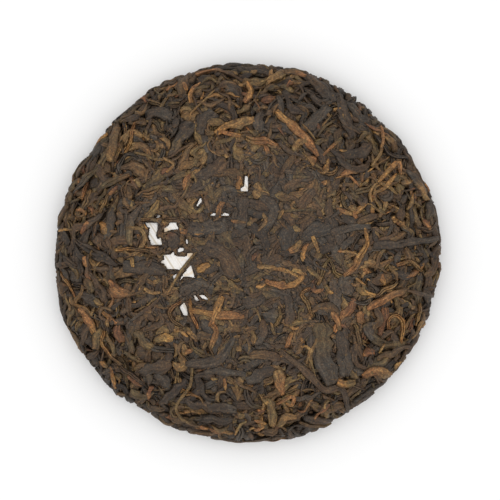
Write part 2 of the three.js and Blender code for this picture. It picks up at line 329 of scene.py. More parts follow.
# Neighbours share a tone. A spot on the face has its middle, its reach, how much lighter and how much browner
# it is. It counts ticks to the right and down, as the leaves listed further below do.
patches = {
    "size": 21, "brown": 2.2, "shade": 0.22, "leafShade": (0.8, 1.2),
    "spots": (
        (160, 388, 46, -0.2, 0.0), (328, 118, 36, -0.16, -1.0), (108, 332, 34, -0.13, 0.0),
        (84, 250, 22, -0.18, -0.6), (165, 108, 44, -0.1, 0.0), (350, 152, 26, -0.16, -0.8),
        (336, 362, 30, -0.08, -0.6), (200, 190, 36, 0.08, 0.5), (236, 232, 36, -0.03, -1.8),
        (300, 240, 44, -0.03, -1.2), (380, 300, 44, 0.03, 0.8), (98, 190, 44, 0.0, 0.8),
        (208, 318, 26, 0.06, 1.0), (282, 278, 22, 0.08, 1.2), (270, 402, 26, 0.06, 0.8),
        (230, 372, 30, -0.14, -1.0), (184, 282, 24, -0.04, -1.2), (404, 240, 26, -0.08, -1.0),
        (268, 144, 24, 0.06, 0.8), (340, 340, 28, 0.0, -1.0), (176, 302, 20, 0.16, 1.5),
        (166, 252, 22, 0.14, 1.0), (102, 202, 26, 0.04, 0.9), (218, 88, 34, -0.1, 0.0),
        (204, 352, 26, -0.12, -0.2), (70, 340, 30, 0.0, 0.8), (288, 202, 26, -0.08, -0.6),
        (320, 306, 24, 0.08, 0.8),
    ),
}
laying = {
    "golden": math.pi * (3 - math.sqrt(5)),
    "reach": 0.505,  # how far round the profile each side is laid, as a share
    "tries": 12,  # places that a leaf picks the lowest of
    "attempts": 3,  # before it is given up
    "wander": 3.6,  # how far a leaf may settle from its site
    "middleReach": 75,  # inside this distance the middle's mix of kinds fades in
    "rimFrom": 80,  # past this distance most leaves lie along the rim
    "rimShare": 0.6,
    "rimSpread": 26,
    "lieSize": 34,  # neighbours lie alike
    "lieShare": 0.6,
    "lieSpread": 20,
    "probe": (9, 3),  # samples along and across a leaf that looks for its place
    "probeWidth": 1.1,
    "bridge": {"ridge": 3, "along": 2, "across": 1},  # samples over which a laid leaf spans the dips below it
    "grain": 0.45,  # spacing of the samples that a laid leaf is worked out on
    "sink": 0.16,
    "knots": 1.7,  # spacing of the nicks in a leaf's edges
    "shortest": 2.0,  # of a leaf that is trimmed by a gap
    "leastShare": 0.3,  # of its length
    "leastReach": 0.25,  # of its half width
    "gapCost": 4,  # how much a place over a gap counts against it
    "peakCost": 0.6,
    "lieStart": {"top": 80, "back": 160},
    "rimBend": 0.4,
    "fewest": {"rows": 9, "columns": 7},
    "tipCurve": 0.7,
    "underside": 0.3,  # how far it hangs under its bed as a share of its thickness, and how dark its underside is painted, as painted shade under the leaf
    "edgeShadeCurve": 5,
    "turnoverRate": 3,  # how fast one tone gives way to the other
    "ridgeLightAndFoldShade": 0.3,
    "dim": ((20, 60, 84, 104), (0.648, 0.728, 0.65, 0.435)),  # distances, and how dark the leaves are there; the steep fall past 84 mm is painted shade of the rim, which turns away from the light
    "backStep": 1.5,
}
# Each kind's weight in the middle of the face and at its rim. The fill finds what still lies low.
layers = (
    {"name": "bed", "count": {"top": 520, "back": 430}, "step": 2.2, "kinds": {flat: (7, 5), rolled: (4, 6)}},
    {"name": "middle", "count": {"top": 620, "back": 420}, "step": 1.3,
     "kinds": {flat: (4.5, 2.4), rolled: (4, 6.5), strip: (2, 2), bud: (0.7, 0.9)}},
    {"name": "face", "count": {"top": 1000, "back": 420}, "step": 1.0,
     "kinds": {flat: (3.6, 0.8), rolled: (1.6, 5), strip: (1.6, 4.4), bud: (0.7, 1.7), stem: (0.15, 0.3),
               flake: (7, 3.6)}},
    {"name": "fill", "count": {"top": 800, "back": 160}, "step": 1.0, "wander": 5.5,
     "kinds": {flake: (5, 4.5), strip: (1, 1.8), bud: (0.3, 0.4)}},
)
leaves = {}  # kind and side to the leaves laid so far


def patchAt(side, x, y):
    # How much lighter and how much browner the leaves of a place are.
    place = onBody(side, x, y, 0.0) / patches["size"]
    lighter = patches["shade"] * noise.noise(Vector(place))
    browner = patches["brown"] * noise.noise(Vector(place + 40))
    if side == "top":
        right = place[0] * patches["size"] / setLeaves["tick"] + setLeaves["middle"][0]
        down = setLeaves["middle"][1] - place[1] * patches["size"] / setLeaves["tick"]
        for spotX, spotY, reach, light, brown in patches["spots"]:
            near = math.exp(-((right - spotX) ** 2 + (down - spotY) ** 2) / reach**2)
            lighter, browner = lighter + light * near, browner + brown * near
    return lighter, browner


def toneLeaf(side, leaf):
    # Its two tones, by its kind's weights and where it lies. Bright ones are rarer in the middle.
    lighter, browner = patchAt(side, leaf["x"], leaf["y"])
    out = min(math.hypot(leaf["x"], leaf["y"]) / laying["middleReach"], 1) ** 2
    bright = np.interp(out, (0, 1), brightTones["share"])
    weights = leafKinds[leaf["kind"]]["tones"]
    names = list(weights)
    share = np.array([weights[n] * (bright if n in brightTones["names"] else 1) for n in names], float)
    share *= [math.exp(-browner if n in darkTones else 0) for n in names]
    first = names[rng.choice(len(names), p=share / share.sum())]
    leaf["tones"] = (tones[first], tones[nearTones[first][rng.integers(3)]])
    leaf["shade"] = rng.uniform(*patches["leafShade"]) * (1 + lighter)


anyLeaf = {
    "wave": 0.14,  # of its kind's bend
    "lumps": (0.6, 1.2),
    "turnover": (0.2, 0.8),  # where its second tone takes over
    "edgeShade": (0.3, 1.0),  # how dark either edge is: painted shade of the crack beside it, with tea dust
    "grainStart": (0, 400),
    "girth": 2.2,  # round it, in widths
    "stray": 0.4,  # how far a kink takes it off a set line, in widths
    "cuts": 12,
}


def newLeaf(kind, step=1.0):
    spec = leafKinds[kind]
    length = rng.uniform(*spec["length"])
    knots = max(4, int(length / laying["knots"]))
    return {
        "kind": kind,
        "step": step,
        "length": length,
        "width": rng.uniform(*spec["width"]),
        "thickness": rng.uniform(*spec["thickness"]),
        "bend": math.radians(rng.choice((-1, 1)) * rng.random() ** 2 * spec["bend"]),  # seldom far
        "wave": math.radians(rng.uniform(0, anyLeaf["wave"]) * spec["bend"]),
        "waveStart": rng.uniform(0, 2 * math.pi),
        "kinks": np.radians(rng.normal(0, spec["kink"], max(3, knots // 2))),
        "ridges": rng.uniform(*spec["ridges"]),
        "ridgeStart": rng.uniform(0, 2),
        "twist": rng.uniform(-1, 1) * spec["twist"],
        "tips": rng.uniform(*spec["tips"], 2),
        "taper": rng.uniform(*spec["taper"], 2),
        "edges": rng.uniform(*spec["edge"], (2, knots)),
        "lumps": rng.uniform(*anyLeaf["lumps"], max(4, knots // 2)),
        "turnover": rng.uniform(*anyLeaf["turnover"]),
        "edgeShade": rng.uniform(*anyLeaf["edgeShade"], 2),
        "grainStart": rng.uniform(*anyLeaf["grainStart"], 2),
    }


def alongLeaf(values, u):
    return np.interp(u, np.linspace(0, 1, len(values)), values)


def middleLine(leaf, count):
    # The leaf's middle line as positions and headings, either through set points or on a waving arc.
    u = np.linspace(0, 1, count)
    if "line" in leaf:
        line = np.array(leaf["line"], float)
        line = smoothCurve(line, anyLeaf["cuts"]) if len(line) > 2 else line
        at = np.concatenate(((0,), np.cumsum(np.hypot(*np.diff(line, axis=0).T))))
        x, y = (np.interp(u * at[-1], at, line[:, i]) for i in (0, 1))
        heading = np.unwrap(np.arctan2(np.gradient(y), np.gradient(x)))
        aside = anyLeaf["stray"] * leaf["width"] * alongLeaf(leaf["kinks"], u)
        return x - np.sin(heading) * aside, y + np.cos(heading) * aside, heading
    heading = leaf["heading"] + leaf["bend"] * (u - 0.5) + alongLeaf(leaf["kinks"], u)
    heading = heading + leaf["wave"] * np.sin(2 * math.pi * u + leaf["waveStart"])
    step = leaf["length"] / (count - 1)
    x, y = np.cumsum(np.cos(heading)) * step, np.cumsum(np.sin(heading)) * step
    return x - x.mean() + leaf["x"], y - y.mean() + leaf["y"], heading


def windows(values, reach):
    # Each value with its neighbours down the first axis.
    padded = np.pad(values, ((reach, reach), *((0, 0),) * (values.ndim - 1)), mode="edge")
    return np.lib.stride_tricks.sliding_window_view(padded, 2 * reach + 1, axis=0)


def averaged(values, reach):
    return windows(values, reach).mean(axis=-1)


def keptClear(side, px, py):
    # How far either half of a leaf reaches before a kept gap, and the longest run of its rows that is clear.
    blocked = keptOpen[side][cells(px, py)]
    middle = px.shape[1] // 2
    halves = blocked[:, middle:], blocked[:, middle::-1]
    clear = np.stack([np.cumprod(~half, axis=1).sum(axis=1) for half in halves])
    reach = np.where(clear > middle, 1.0, np.maximum(clear - 1, 0) / middle)
    reach = windows(reach.T, 2).min(axis=-1).T
    free = (reach.min(axis=0) > laying["leastReach"]).astype(int)
    turns = np.flatnonzero(np.diff(np.concatenate(([0], free, [0]))))
    if not len(turns):
        return reach, slice(0, 0)
    longest = int((turns[1::2] - turns[::2]).argmax()) * 2
    return reach, slice(turns[longest], turns[longest + 1])


def layLeaf(side, leaf, force=False):
    # Drapes a leaf over what already lies there, trims it by the kept gaps, and adds it to the pile.
    spec = leafKinds[leaf["kind"]]
    length = leaf["length"]
    rows = max(laying["fewest"]["rows"], int(length / laying["grain"]))
    columns = max(laying["fewest"]["columns"], int(leaf["width"] / laying["grain"]) | 1)
    u, v = np.linspace(0, 1, rows), np.linspace(-1, 1, columns)
    x, y, heading = middleLine(leaf, rows)
    (tipA, tipB), (taperA, taperB) = leaf["tips"], leaf["taper"]
    curve = laying["tipCurve"]
    fullness = np.minimum(1, tipA + (1 - tipA) * (u / taperA) ** curve)
    fullness = np.minimum(fullness, tipB + (1 - tipB) * ((1 - u) / taperB) ** curve)
    halves = np.stack([alongLeaf(edge, u) * fullness * leaf["width"] / 2 for edge in leaf["edges"]])

    def spread(halves):
        across = v * np.where(v > 0, halves[0][:, None], halves[1][:, None])
        return x[:, None] - np.sin(heading)[:, None] * across, y[:, None] + np.cos(heading)[:, None] * across

    px, py = spread(halves)
    if not force and keptOpen[side][cells(px, py)].any():
        reach, run = keptClear(side, px, py)
        share = (run.stop - run.start) / rows
        if share * length < laying["shortest"] or share < laying["leastShare"]:
            return False
        u, x, y, heading, fullness = u[run], x[run], y[run], heading[run], fullness[run]
        px, py = spread((halves * reach)[:, run])
        length, rows = length * share, len(u)
    ground = pileTop[side][cells(px, py)]
    bridge = laying["bridge"]
    ridge = averaged(ground.max(axis=1), bridge["ridge"])
    soft = averaged(averaged(ground, bridge["along"]).T, bridge["across"]).T
    base = soft + (ridge[:, None] - soft) * spec["stiffness"] - laying["sink"]
    rounded = np.sqrt(1 - np.abs(v) ** spec["roundness"])
    turns = leaf["ridges"] * v + leaf["twist"] * u[:, None] * leaf["length"] / 10 + leaf["ridgeStart"]
    ridges = (1 - 2 * np.abs(turns % 2 - 1)) * (1 - v**4)  # they run out at either edge
    body = (leaf["thickness"] * np.sqrt(fullness) * alongLeaf(leaf["lumps"], u))[:, None] * rounded
    top = base + body + spec["ridgeHeight"] * ridges * fullness[:, None]
    raisePile(side, px, py, top)

    step = spec["step"] * leaf["step"] * (laying["backStep"] if side == "back" else 1)
    stations = max(4, int(round(length / step)) + 1)
    iu = np.linspace(0, rows - 1, stations).round().astype(int)
    iv = np.linspace(0, columns - 1, spec["across"]).round().astype(int)
    inset = 1 if spec["across"] > 4 else 0  # of the two lines of points underneath
    grid, under = np.ix_(iu, iv), np.ix_(iu, iv[[-1 - inset, inset]])

    def ring(values, lower):
        return np.concatenate((values[grid], lower), axis=1)

    z = ring(top, base[under] - laying["underside"] * leaf["thickness"])
    mix = np.clip((u - leaf["turnover"]) * laying["turnoverRate"] + 0.5, 0, 1)[iu, None, None]
    tint = (leaf["tones"][0] * (1 - mix) + leaf["tones"][1] * mix) * leaf["shade"]
    distance = np.hypot(px, py).mean()
    # Leaves laid at random darken with distance, with painted shade towards the rim; the listed ones darken
    # by a fixed share.
    tint = tint * (setLeaves["dim"] if "line" in leaf else np.interp(distance, *laying["dim"]))
    # Painted shade of the cracks between leaves darkens either edge, with some tea dust.
    edgeShade = np.where(v > 0, *leaf["edgeShade"]) * np.abs(v) ** laying["edgeShadeCurve"]
    # Painted highlight lightens the ridge tops and painted shade darkens the folds between them.
    paintedShading = (1 - edgeShade) * (1 + laying["ridgeLightAndFoldShade"] * ridges)
    # The two points underneath get painted shade, so each leaf darkens down its sides and under it.
    paintedShading = ring(paintedShading, np.full((stations, 2), laying["underside"]))
    count = spec["across"] + 2
    grainU = np.repeat((u[iu] * leaf["length"])[:, None], count, axis=1)
    grainV = np.concatenate((turns[grid], turns[under] + 1), axis=1) * leaf["width"] / 2 / leaf["ridges"]
    leaves.setdefault((leaf["kind"], side), []).append({
        "x": ring(px, px[under]), "y": ring(py, py[under]), "z": z,
        "tint": tint * paintedShading[..., None], "length": length, "girth": anyLeaf["girth"] * leaf["width"],
        "grain": np.stack((grainU + leaf["grainStart"][0], grainV + leaf["grainStart"][1]), axis=-1),
    })
    return True


def settle(side, leaf, siteX, siteY, wander):
    # Of a few places and turns near a site, the lowest one.
    tries = laying["tries"]
    x = siteX + rng.normal(0, wander, tries)
    y = siteY + rng.normal(0, wander, tries)
    heading = rng.uniform(0, 2 * math.pi, tries)
    site = Vector((siteX, siteY, laying["lieStart"][side]))
    lie = 2 * math.pi * noise.noise(site / laying["lieSize"])
    alike = rng.random(tries) < laying["lieShare"]
    heading = np.where(alike, lie + np.radians(rng.normal(0, laying["lieSpread"], tries)), heading)
    if math.hypot(siteX, siteY) > laying["rimFrom"]:
        alongRim = rng.random(tries) < laying["rimShare"]
        turned = np.arctan2(y, x) + math.pi / 2 + np.radians(rng.normal(0, laying["rimSpread"], tries))
        heading = np.where(alongRim, turned, heading)
        leaf["bend"] = leaf["bend"] * laying["rimBend"] + leaf["length"] / math.hypot(siteX, siteY)
    u = np.linspace(-0.5, 0.5, laying["probe"][0])[None, :, None]
    v = np.linspace(-0.5, 0.5, laying["probe"][1])[None, None] * laying["probeWidth"]
    along = u * leaf["length"]
    arc = leaf["length"] * leaf["bend"] * (0.5 * u**2 - 0.04)  # its middle line's, about its mean
    aside = v * leaf["width"] + arc
    c, s = np.cos(heading)[:, None, None], np.sin(heading)[:, None, None]
    at = cells(x[:, None, None] + c * along - s * aside, y[:, None, None] + s * along + c * aside)
    ground = pileTop[side][at]
    cost = ground.mean(axis=(1, 2)) + laying["peakCost"] * ground.max(axis=(1, 2))
    cost = cost + laying["gapCost"] * keptOpen[side][at].mean(axis=(1, 2))
    best = int(cost.argmin())
    leaf.update(x=x[best], y=y[best], heading=heading[best])


def layLayer(layer):
    sites = []
    for side, count in layer["count"].items():
        for i in range(count):
            distance = laying["reach"] * profileLength * math.sqrt((i + rng.random()) / count)
            angle = laying["golden"] * i + len(layer["name"])
            sites.append((side, distance * math.cos(angle), distance * math.sin(angle)))
    kinds = list(layer["kinds"])
    inner, outer = np.array([layer["kinds"][k] for k in kinds], float).T
    for i in rng.permutation(len(sites)):
        side, x, y = sites[i]
        out = min(math.hypot(x, y) / laying["middleReach"], 1) ** 2
        share = inner * (1 - out) + outer * out
        leaf = newLeaf(kinds[rng.choice(len(kinds), p=share / share.sum())], layer["step"])
        for attempt in range(laying["attempts"]):
            settle(side, leaf, x, y, layer.get("wander", laying["wander"]))
            toneLeaf(side, leaf)
            if layLeaf(side, leaf):
                break


# Small bits close what is still bare round the gaps, the wide places first.
closing = {"bare": 0.12, "blur": 0.5, "passes": (0.45, 0.25, 0.12), "length": 2.2, "width": 1.2}


def closeRound(least):
    bare = (pileTop["top"] < closing["bare"]) & ~keptOpen["top"] & overTicket(cellX, cellY)
    spots = np.argwhere(bare & (blurred(bare * 1.0, closing["blur"]) > least))
    laid = 0
    for i, j in rng.permutation(spots):
        if pileTop["top"][i, j] >= closing["bare"]:
            continue
        leaf = newLeaf(flake)
        leaf.update(x=cellX[i, j], y=cellY[i, j], heading=rng.uniform(0, 2 * math.pi))
        toneLeaf("top", leaf)
        if not layLeaf("top", leaf):
            leaf.update(length=closing["length"], width=closing["width"])
            leaf["heading"] += math.pi / 2
            layLeaf("top", leaf)
        laid += 1
    return laid


# Leaves that are set one by one: kind, tones, width in millimetres, then points of the line that they follow.
# Those points count ticks to the right and down.
setLeaves = {
    "tick": 0.5155,
    "middle": (248.5, 252.5),  # the cake's middle in that count
    "dim": 0.7,
    "widen": 1.15,
    "tips": (0.35, 0.85),
    "broad": (
        (flat, "charcoal slate", 8.5, (189, 227), (206, 230), (228, 226)),
        (flat, "charcoal umber", 8.5, (205, 246), (225, 256), (236, 276)),
        (flat, "charcoal slate", 6.5, (245, 197), (243, 214), (238, 230)),
        (flat, "slate charcoal", 7.5, (124, 266), (146, 268), (164, 276)),
        (flat, "charcoal slate", 9, (338, 330), (342, 352), (346, 376)),
        (flat, "moss slate", 11, (321, 322), (322, 352), (331, 384)),
        (flat, "charcoal slate", 4.4, (330, 232), (350, 228), (370, 226)),
        (flat, "charcoal slate", 4.4, (204, 372), (225, 371), (246, 371)),
        (flat, "charcoal slate", 6, (262, 112), (258, 122), (260, 134)),
        (flat, "charcoal slate", 7, (300, 130), (316, 122), (326, 106)),
        (flat, "charcoal coal", 7, (337, 98), (345, 116), (352, 138)),
        (flat, "charcoal umber", 7, (196, 178), (212, 172), (226, 160)),
        (flat, "charcoal slate", 7, (262, 196), (272, 210), (268, 228)),
        (flat, "charcoal slate", 7, (180, 290), (196, 284), (214, 288)),
        (flat, "charcoal slate", 7.5, (146, 116), (158, 114), (172, 118)),
        (flat, "slate charcoal", 7, (213, 112), (205, 124), (198, 134)),
        (flat, "slate coal", 5, (225, 92), (234, 88), (241, 96)),
        (flat, "bark tan", 7, (118, 128), (114, 145), (110, 162)),
        (flat, "charcoal slate", 6, (186, 364), (212, 361), (228, 348), (236, 338)),
        (flat, "charcoal umber", 7, (140, 371), (156, 366), (172, 362)),
        (flat, "charcoal slate", 6, (208, 408), (222, 406), (237, 409)),
        (flat, "slate charcoal", 7, (246, 379), (260, 374), (274, 367)),
        (flat, "bark umber", 6, (250, 357), (264, 354), (280, 356)),
        (flat, "moss olive", 5, (138, 330), (144, 340), (152, 348)),
        (flat, "bark moss", 5, (88, 278), (90, 286), (92, 293)),
        (flat, "rust bark", 5, (129, 374), (137, 381), (145, 384)),
        (rolled, "charcoal coal", 5, (160, 403), (174, 392), (187, 378)),
        (rolled, "charcoal slate", 4.8, (372, 246), (404, 243), (436, 238)),
        (rolled, "umber charcoal", 4.6, (280, 349), (305, 370), (323, 390), (341, 389), (346, 411)),
        (rolled, "rust charcoal", 7, (164, 229), (171, 237), (177, 248)),
        (rolled, "charcoal coal", 2.6, (160, 220), (161, 233), (165, 249)),
        (rolled, "copper bark", 2.8, (139, 249), (152, 247), (163, 248)),
        (rolled, "bark umber", 2.2, (142, 220), (160, 219), (180, 218)),
        (rolled, "slate moss", 3.4, (74, 193), (86, 180), (99, 168)),
        (rolled, "moss bark", 3.4, (101, 187), (114, 180), (131, 176)),
        (rolled, "bark umber", 4, (376, 357), (394, 352), (410, 346)),
    ),
    "bright": (
        (bud, "amber copper", 3.4, (246, 83), (251, 93), (245, 104)),
        (rolled, "amber copper", 4.2, (275, 113), (286, 123), (299, 132), (309, 143), (318, 157)),
        (stem, "tan olive", 1.1, (302, 125), (309, 132), (316, 142)),
        (stem, "olive tan", 1.2, (331, 115), (322, 127)),
        (strip, "copper olive", 2.2, (322, 156), (331, 147), (341, 138)),
        (flake, "tan copper", 4, (306, 158), (316, 161)),
        (flat, "olive tan", 4.5, (293, 152), (298, 144), (304, 139)),
        (flake, "copper bark", 3, (264, 146), (268, 155)),
        (flake, "olive moss", 4, (252, 129), (258, 136)),
        (bud, "copper amber", 3, (222, 131), (231, 136), (241, 137)),
        (rolled, "tan copper", 3.8, (246, 139), (262, 142), (278, 146)),
        (rolled, "tan bark", 4.5, (267, 83), (275, 78), (285, 74)),
        (rolled, "bark copper", 4, (284, 73), (295, 74), (304, 80)),
        (flake, "rust copper", 3.5, (286, 86), (293, 85)),
        (rolled, "copper umber", 2.8, (196, 76), (212, 71), (228, 74), (243, 82)),
        (strip, "amber copper", 2.8, (377, 182), (387, 171), (397, 163), (398, 175)),
        (strip, "amber tan", 2.2, (396, 174), (387, 183), (381, 189), (372, 194)),
        (strip, "copper tan", 2.0, (379, 126), (382, 138), (381, 150), (372, 167)),
        (rolled, "tan bark", 3.6, (385, 137), (391, 145), (395, 152)),
        (strip, "slate tan", 4, (405, 171), (415, 178), (421, 188), (425, 201)),
        (bud, "amber copper", 2.2, (424, 183), (428, 192)),
        (bud, "olive gold", 2, (362, 187), (369, 180)),
        (flake, "gold tan", 1.8, (338, 151), (346, 152)),
        (bud, "amber copper", 3, (365, 204), (352, 213), (355, 219)),
        (bud, "copper tan", 2.3, (336, 208), (344, 212), (352, 214)),
        (flake, "copper amber", 1.8, (370, 197), (374, 199)),
        (strip, "copper bark", 3.2, (340, 176), (348, 173), (357, 173)),
        (rolled, "amber copper", 3.2, (364, 228), (365, 243), (357, 259), (354, 267), (343, 276)),
        (strip, "copper tan", 1.8, (337, 251), (347, 252), (358, 255)),
        (flake, "rust copper", 4, (424, 219), (430, 229)),
        (flake, "tan bark", 2.6, (398, 222), (405, 223)),
        (flake, "tan olive", 3, (291, 214), (297, 218)),
        (flake, "olive tan", 3.6, (293, 226), (300, 231)),
        (strip, "tan amber", 2.8, (257, 266), (270, 267), (284, 270), (298, 275)),
        (rolled, "copper amber", 4.2, (265, 280), (277, 285), (288, 286), (303, 276)),
        (bud, "gold tan", 2.4, (292, 269), (304, 275)),
        (strip, "tan olive", 2.5, (306, 267), (313, 272), (321, 279)),
        (strip, "bark slate", 1.8, (265, 288), (278, 291), (291, 296)),
        (flake, "copper tan", 4.6, (288, 250), (295, 247), (302, 244)),
        (strip, "gold tan", 1.8, (313, 236), (315, 244), (317, 253)),
        (bud, "olive tan", 2.1, (279, 219), (283, 210)),
        (strip, "tan bark", 1.8, (263, 213), (266, 222), (257, 231)),
        (rolled, "amber copper", 2.8, (190, 298), (192, 314), (199, 328)),
        (rolled, "amber copper", 4.6, (192, 311), (213, 313), (228, 314), (244, 316)),
        (rolled, "amber copper", 4, (223, 296), (214, 313), (211, 326)),
        (rolled, "copper tan", 3.6, (212, 324), (217, 333), (210, 348)),
        (rolled, "copper bark", 3, (182, 302), (171, 309), (172, 320), (184, 327)),
        (bud, "amber copper", 3, (185, 353), (193, 349)),
        (flat, "olive gold", 4.4, (154, 340), (164, 336), (174, 338)),
        (strip, "olive bark", 2, (193, 367), (190, 385), (177, 402), (178, 414), (192, 424), (204, 427)),
        (flake, "copper amber", 2.6, (200, 427), (208, 428)),
        (bud, "rust copper", 2.6, (152, 385), (148, 398)),
        (flake, "tan olive", 3, (211, 377), (218, 378)),
        (bud, "copper amber", 2, (225, 377), (226, 389)),
        (flake, "bark tan", 4, (234, 378), (243, 382)),
        (strip, "gold olive", 1.8, (235, 433), (240, 424), (247, 421)),
        (bud, "amber copper", 2.8, (292, 331), (285, 347)),
        (strip, "gold tan", 1.8, (300, 346), (309, 348), (306, 363)),
        (strip, "tan olive", 1.6, (316, 338), (310, 356), (316, 378)),
        (rolled, "tan copper", 6, (276, 369), (280, 382), (284, 394)),
        (strip, "copper amber", 2, (276, 404), (290, 396), (294, 398), (291, 405), (285, 403)),
        (rolled, "olive tan", 4.4, (268, 397), (271, 411), (270, 426)),
        (flake, "olive gold", 3.4, (261, 399), (268, 402)),
        (bud, "copper rust", 2.6, (257, 408), (264, 411)),
        (bud, "copper amber", 2, (254, 419), (266, 424)),
        (bud, "copper amber", 2.2, (254, 430), (264, 425)),
        (strip, "copper rust", 2.3, (313, 417), (321, 410), (328, 402)),
        (bud, "olive tan", 2, (328, 398), (323, 407)),
        (rolled, "amber olive", 4, (337, 380), (346, 383), (355, 382)),
        (rolled, "bark olive", 2.8, (299, 421), (314, 424), (331, 422)),
        (flat, "copper tan", 5.4, (361, 374), (375, 371), (391, 374)),
        (bud, "gold olive", 2, (399, 360), (393, 368)),
        (flake, "copper rust", 4, (362, 352), (374, 351)),
        (bud, "tan gold", 2, (384, 343), (379, 353)),
        (rolled, "copper amber", 3, (388, 329), (388, 319), (396, 315), (402, 324), (400, 343)),
        (rolled, "tan gold", 2.6, (418, 303), (418, 314), (414, 325)),
        (strip, "bark tan", 2.4, (424, 312), (419, 325), (411, 338)),
        (rolled, "tan bark", 3, (396, 282), (385, 289), (374, 296)),
        (rolled, "copper bark", 4.2, (366, 309), (386, 299), (408, 290)),
        (strip, "umber charcoal", 2.4, (406, 291), (418, 292), (432, 296)),
        (flake, "olive gold", 3.4, (355, 290), (366, 292), (375, 294)),
        (flake, "copper bark", 5, (357, 312), (364, 322)),
        (rolled, "olive bark", 3, (354, 324), (357, 335), (360, 345)),
        (bud, "copper olive", 3, (331, 311), (336, 320), (340, 329)),
        (rolled, "copper tan", 3, (310, 287), (301, 293), (307, 304), (312, 317)),
        (rolled, "olive tan", 3, (274, 326), (281, 315), (278, 305)),
        (strip, "olive umber", 2, (288, 324), (305, 321), (322, 320)),
        (flake, "olive gold", 3, (326, 284), (330, 294)),
        (flake, "olive tan", 3.6, (252, 330), (256, 343)),
        (rolled, "copper tan", 2.8, (395, 265), (409, 261), (421, 271)),
        (bud, "copper amber", 2.6, (380, 274), (384, 285)),
        (flake, "tan copper", 3, (360, 277), (366, 271)),
        (rolled, "amber copper", 2.8, (62, 272), (69, 284), (76, 297)),
        (bud, "copper amber", 2.6, (86, 256), (87, 267)),
        (flat, "copper amber", 4.6, (80, 308), (88, 320), (97, 334)),
        (rolled, "amber bark", 3, (105, 330), (103, 343), (110, 353), (122, 365)),
        (rolled, "umber charcoal", 3, (122, 365), (134, 374), (148, 386)),
        (bud, "copper amber", 2.4, (111, 366), (114, 376), (118, 386)),
        (flat, "olive bark", 4.4, (102, 328), (98, 338), (95, 348)),
        (bud, "copper tan", 2.2, (110, 317), (109, 326)),
        (strip, "umber bark", 2, (108, 319), (101, 315), (104, 308), (114, 311)),
        (flat, "copper bark", 6.4, (110, 287), (120, 291), (132, 294)),
        (flake, "copper rust", 3.5, (110, 280), (114, 287)),
        (flake, "olive tan", 3.4, (95, 299), (103, 306)),
        (bud, "olive tan", 2, (95, 306), (92, 315)),
        (strip, "olive bark", 2, (66, 293), (69, 302), (72, 310)),
        (bud, "olive gold", 2.4, (133, 257), (133, 267)),
        (strip, "umber charcoal", 2.2, (163, 297), (147, 310), (131, 320)),
        (strip, "olive tan", 2.4, (128, 228), (141, 229), (145, 240), (134, 254), (119, 247)),
        (rolled, "amber bark", 3, (116, 250), (133, 249), (150, 252)),
        (bud, "gold olive", 2, (60, 231), (74, 230)),
        (rolled, "bark tan", 3.2, (83, 209), (88, 199), (92, 190)),
        (rolled, "tan bark", 2.8, (101, 213), (106, 203), (110, 194)),
        (bud, "copper rust", 2.2, (110, 195), (118, 186)),
        (bud, "copper amber", 2.4, (78, 209), (88, 214)),
        (flake, "rust copper", 3, (91, 207), (94, 214)),
        (bud, "rust copper", 2.4, (82, 234), (90, 222)),
        (rolled, "copper amber", 3, (136, 124), (133, 132), (132, 142), (126, 154)),
        (rolled, "tan bark", 2.6, (124, 142), (121, 151), (116, 163)),
        (bud, "copper rust", 2.4, (178, 83), (166, 91)),
        (bud, "copper amber", 2.4, (183, 84), (187, 92)),
        (flake, "copper rust", 3, (141, 97), (147, 102)),
        (strip, "copper amber", 2.6, (201, 83), (194, 88), (190, 96), (192, 104)),
        (stem, "olive tan", 1.2, (215, 91), (203, 103), (192, 113), (190, 121)),
        (strip, "olive tan", 1.8, (135, 153), (146, 155), (156, 160), (167, 160)),
        (strip, "tan amber", 2, (163, 159), (174, 165), (168, 174)),
        (bud, "amber copper", 2.4, (108, 134), (102, 138), (95, 143)),
        (bud, "gold amber", 3.6, (198, 272), (204, 268), (210, 264)),
        (bud, "copper bark", 2.2, (231, 221), (246, 223)),
        (bud, "copper amber", 3.6, (241, 177), (238, 190)),
        (flake, "copper bark", 4.4, (221, 202), (218, 216)),
        (strip, "tan olive", 2.2, (197, 199), (192, 205), (198, 212), (205, 206)),
    ),
    "over": ((stem, "olive tan", 1.5, (198, 252), (193, 257), (180, 274), (168, 293)),),
}


def layByHand(group, force=False):
    tick, middle = setLeaves["tick"], setLeaves["middle"]
    for kind, toneNames, width, *line in setLeaves[group]:
        leaf = newLeaf(kind)
        points = [onChart((right - middle[0]) * tick, (middle[1] - down) * tick) for right, down in line]
        length = sum(math.dist(*pair) for pair in zip(points, points[1:]))
        leaf.update(line=points, length=length, width=setLeaves["widen"] * width, shade=1.0)
        leaf.update(tones=[tones[name] for name in toneNames.split()])
        leaf["tips"] = rng.uniform(*setLeaves["tips"], 2)
        layLeaf("top", leaf, force)


for layer in layers:
    layLayer(layer)
    print("stage:", layer["name"], "laid, mean height", round(float(pileTop["top"].mean()), 2))
layByHand("broad")
for least in closing["passes"]:
    print("stage: bits round the gaps,", closeRound(least))
layByHand("bright")
layByHand("over", True)
print("stage: listed leaves set")


# The whole pile is pressed: its relief is flattened most in the middle.
pressing = {
    "smooth": 3.5,  # the stone levels what is wider than this
    "relief": {"top": (0.26, 1.55), "back": (0.25, 0.9)},  # what is left of it in the middle and at the rim
    "from": 28,
    "to": 96,
    "fade": 1.25,
    "proud": 0.45,  # the levelled surface over the cake's plain form
    "cap": 0.5,
    "past": 0.35,  # left of what stands higher than the cap
    "table": 0.9,  # below this height the back flattens out
}
levelTop = {}
for side, heights in pileTop.items():
    counted = ~keptOpen[side] * 1.0
    levelTop[side] = blurred(heights * counted, pressing["smooth"]) / blurred(counted, pressing["smooth"])


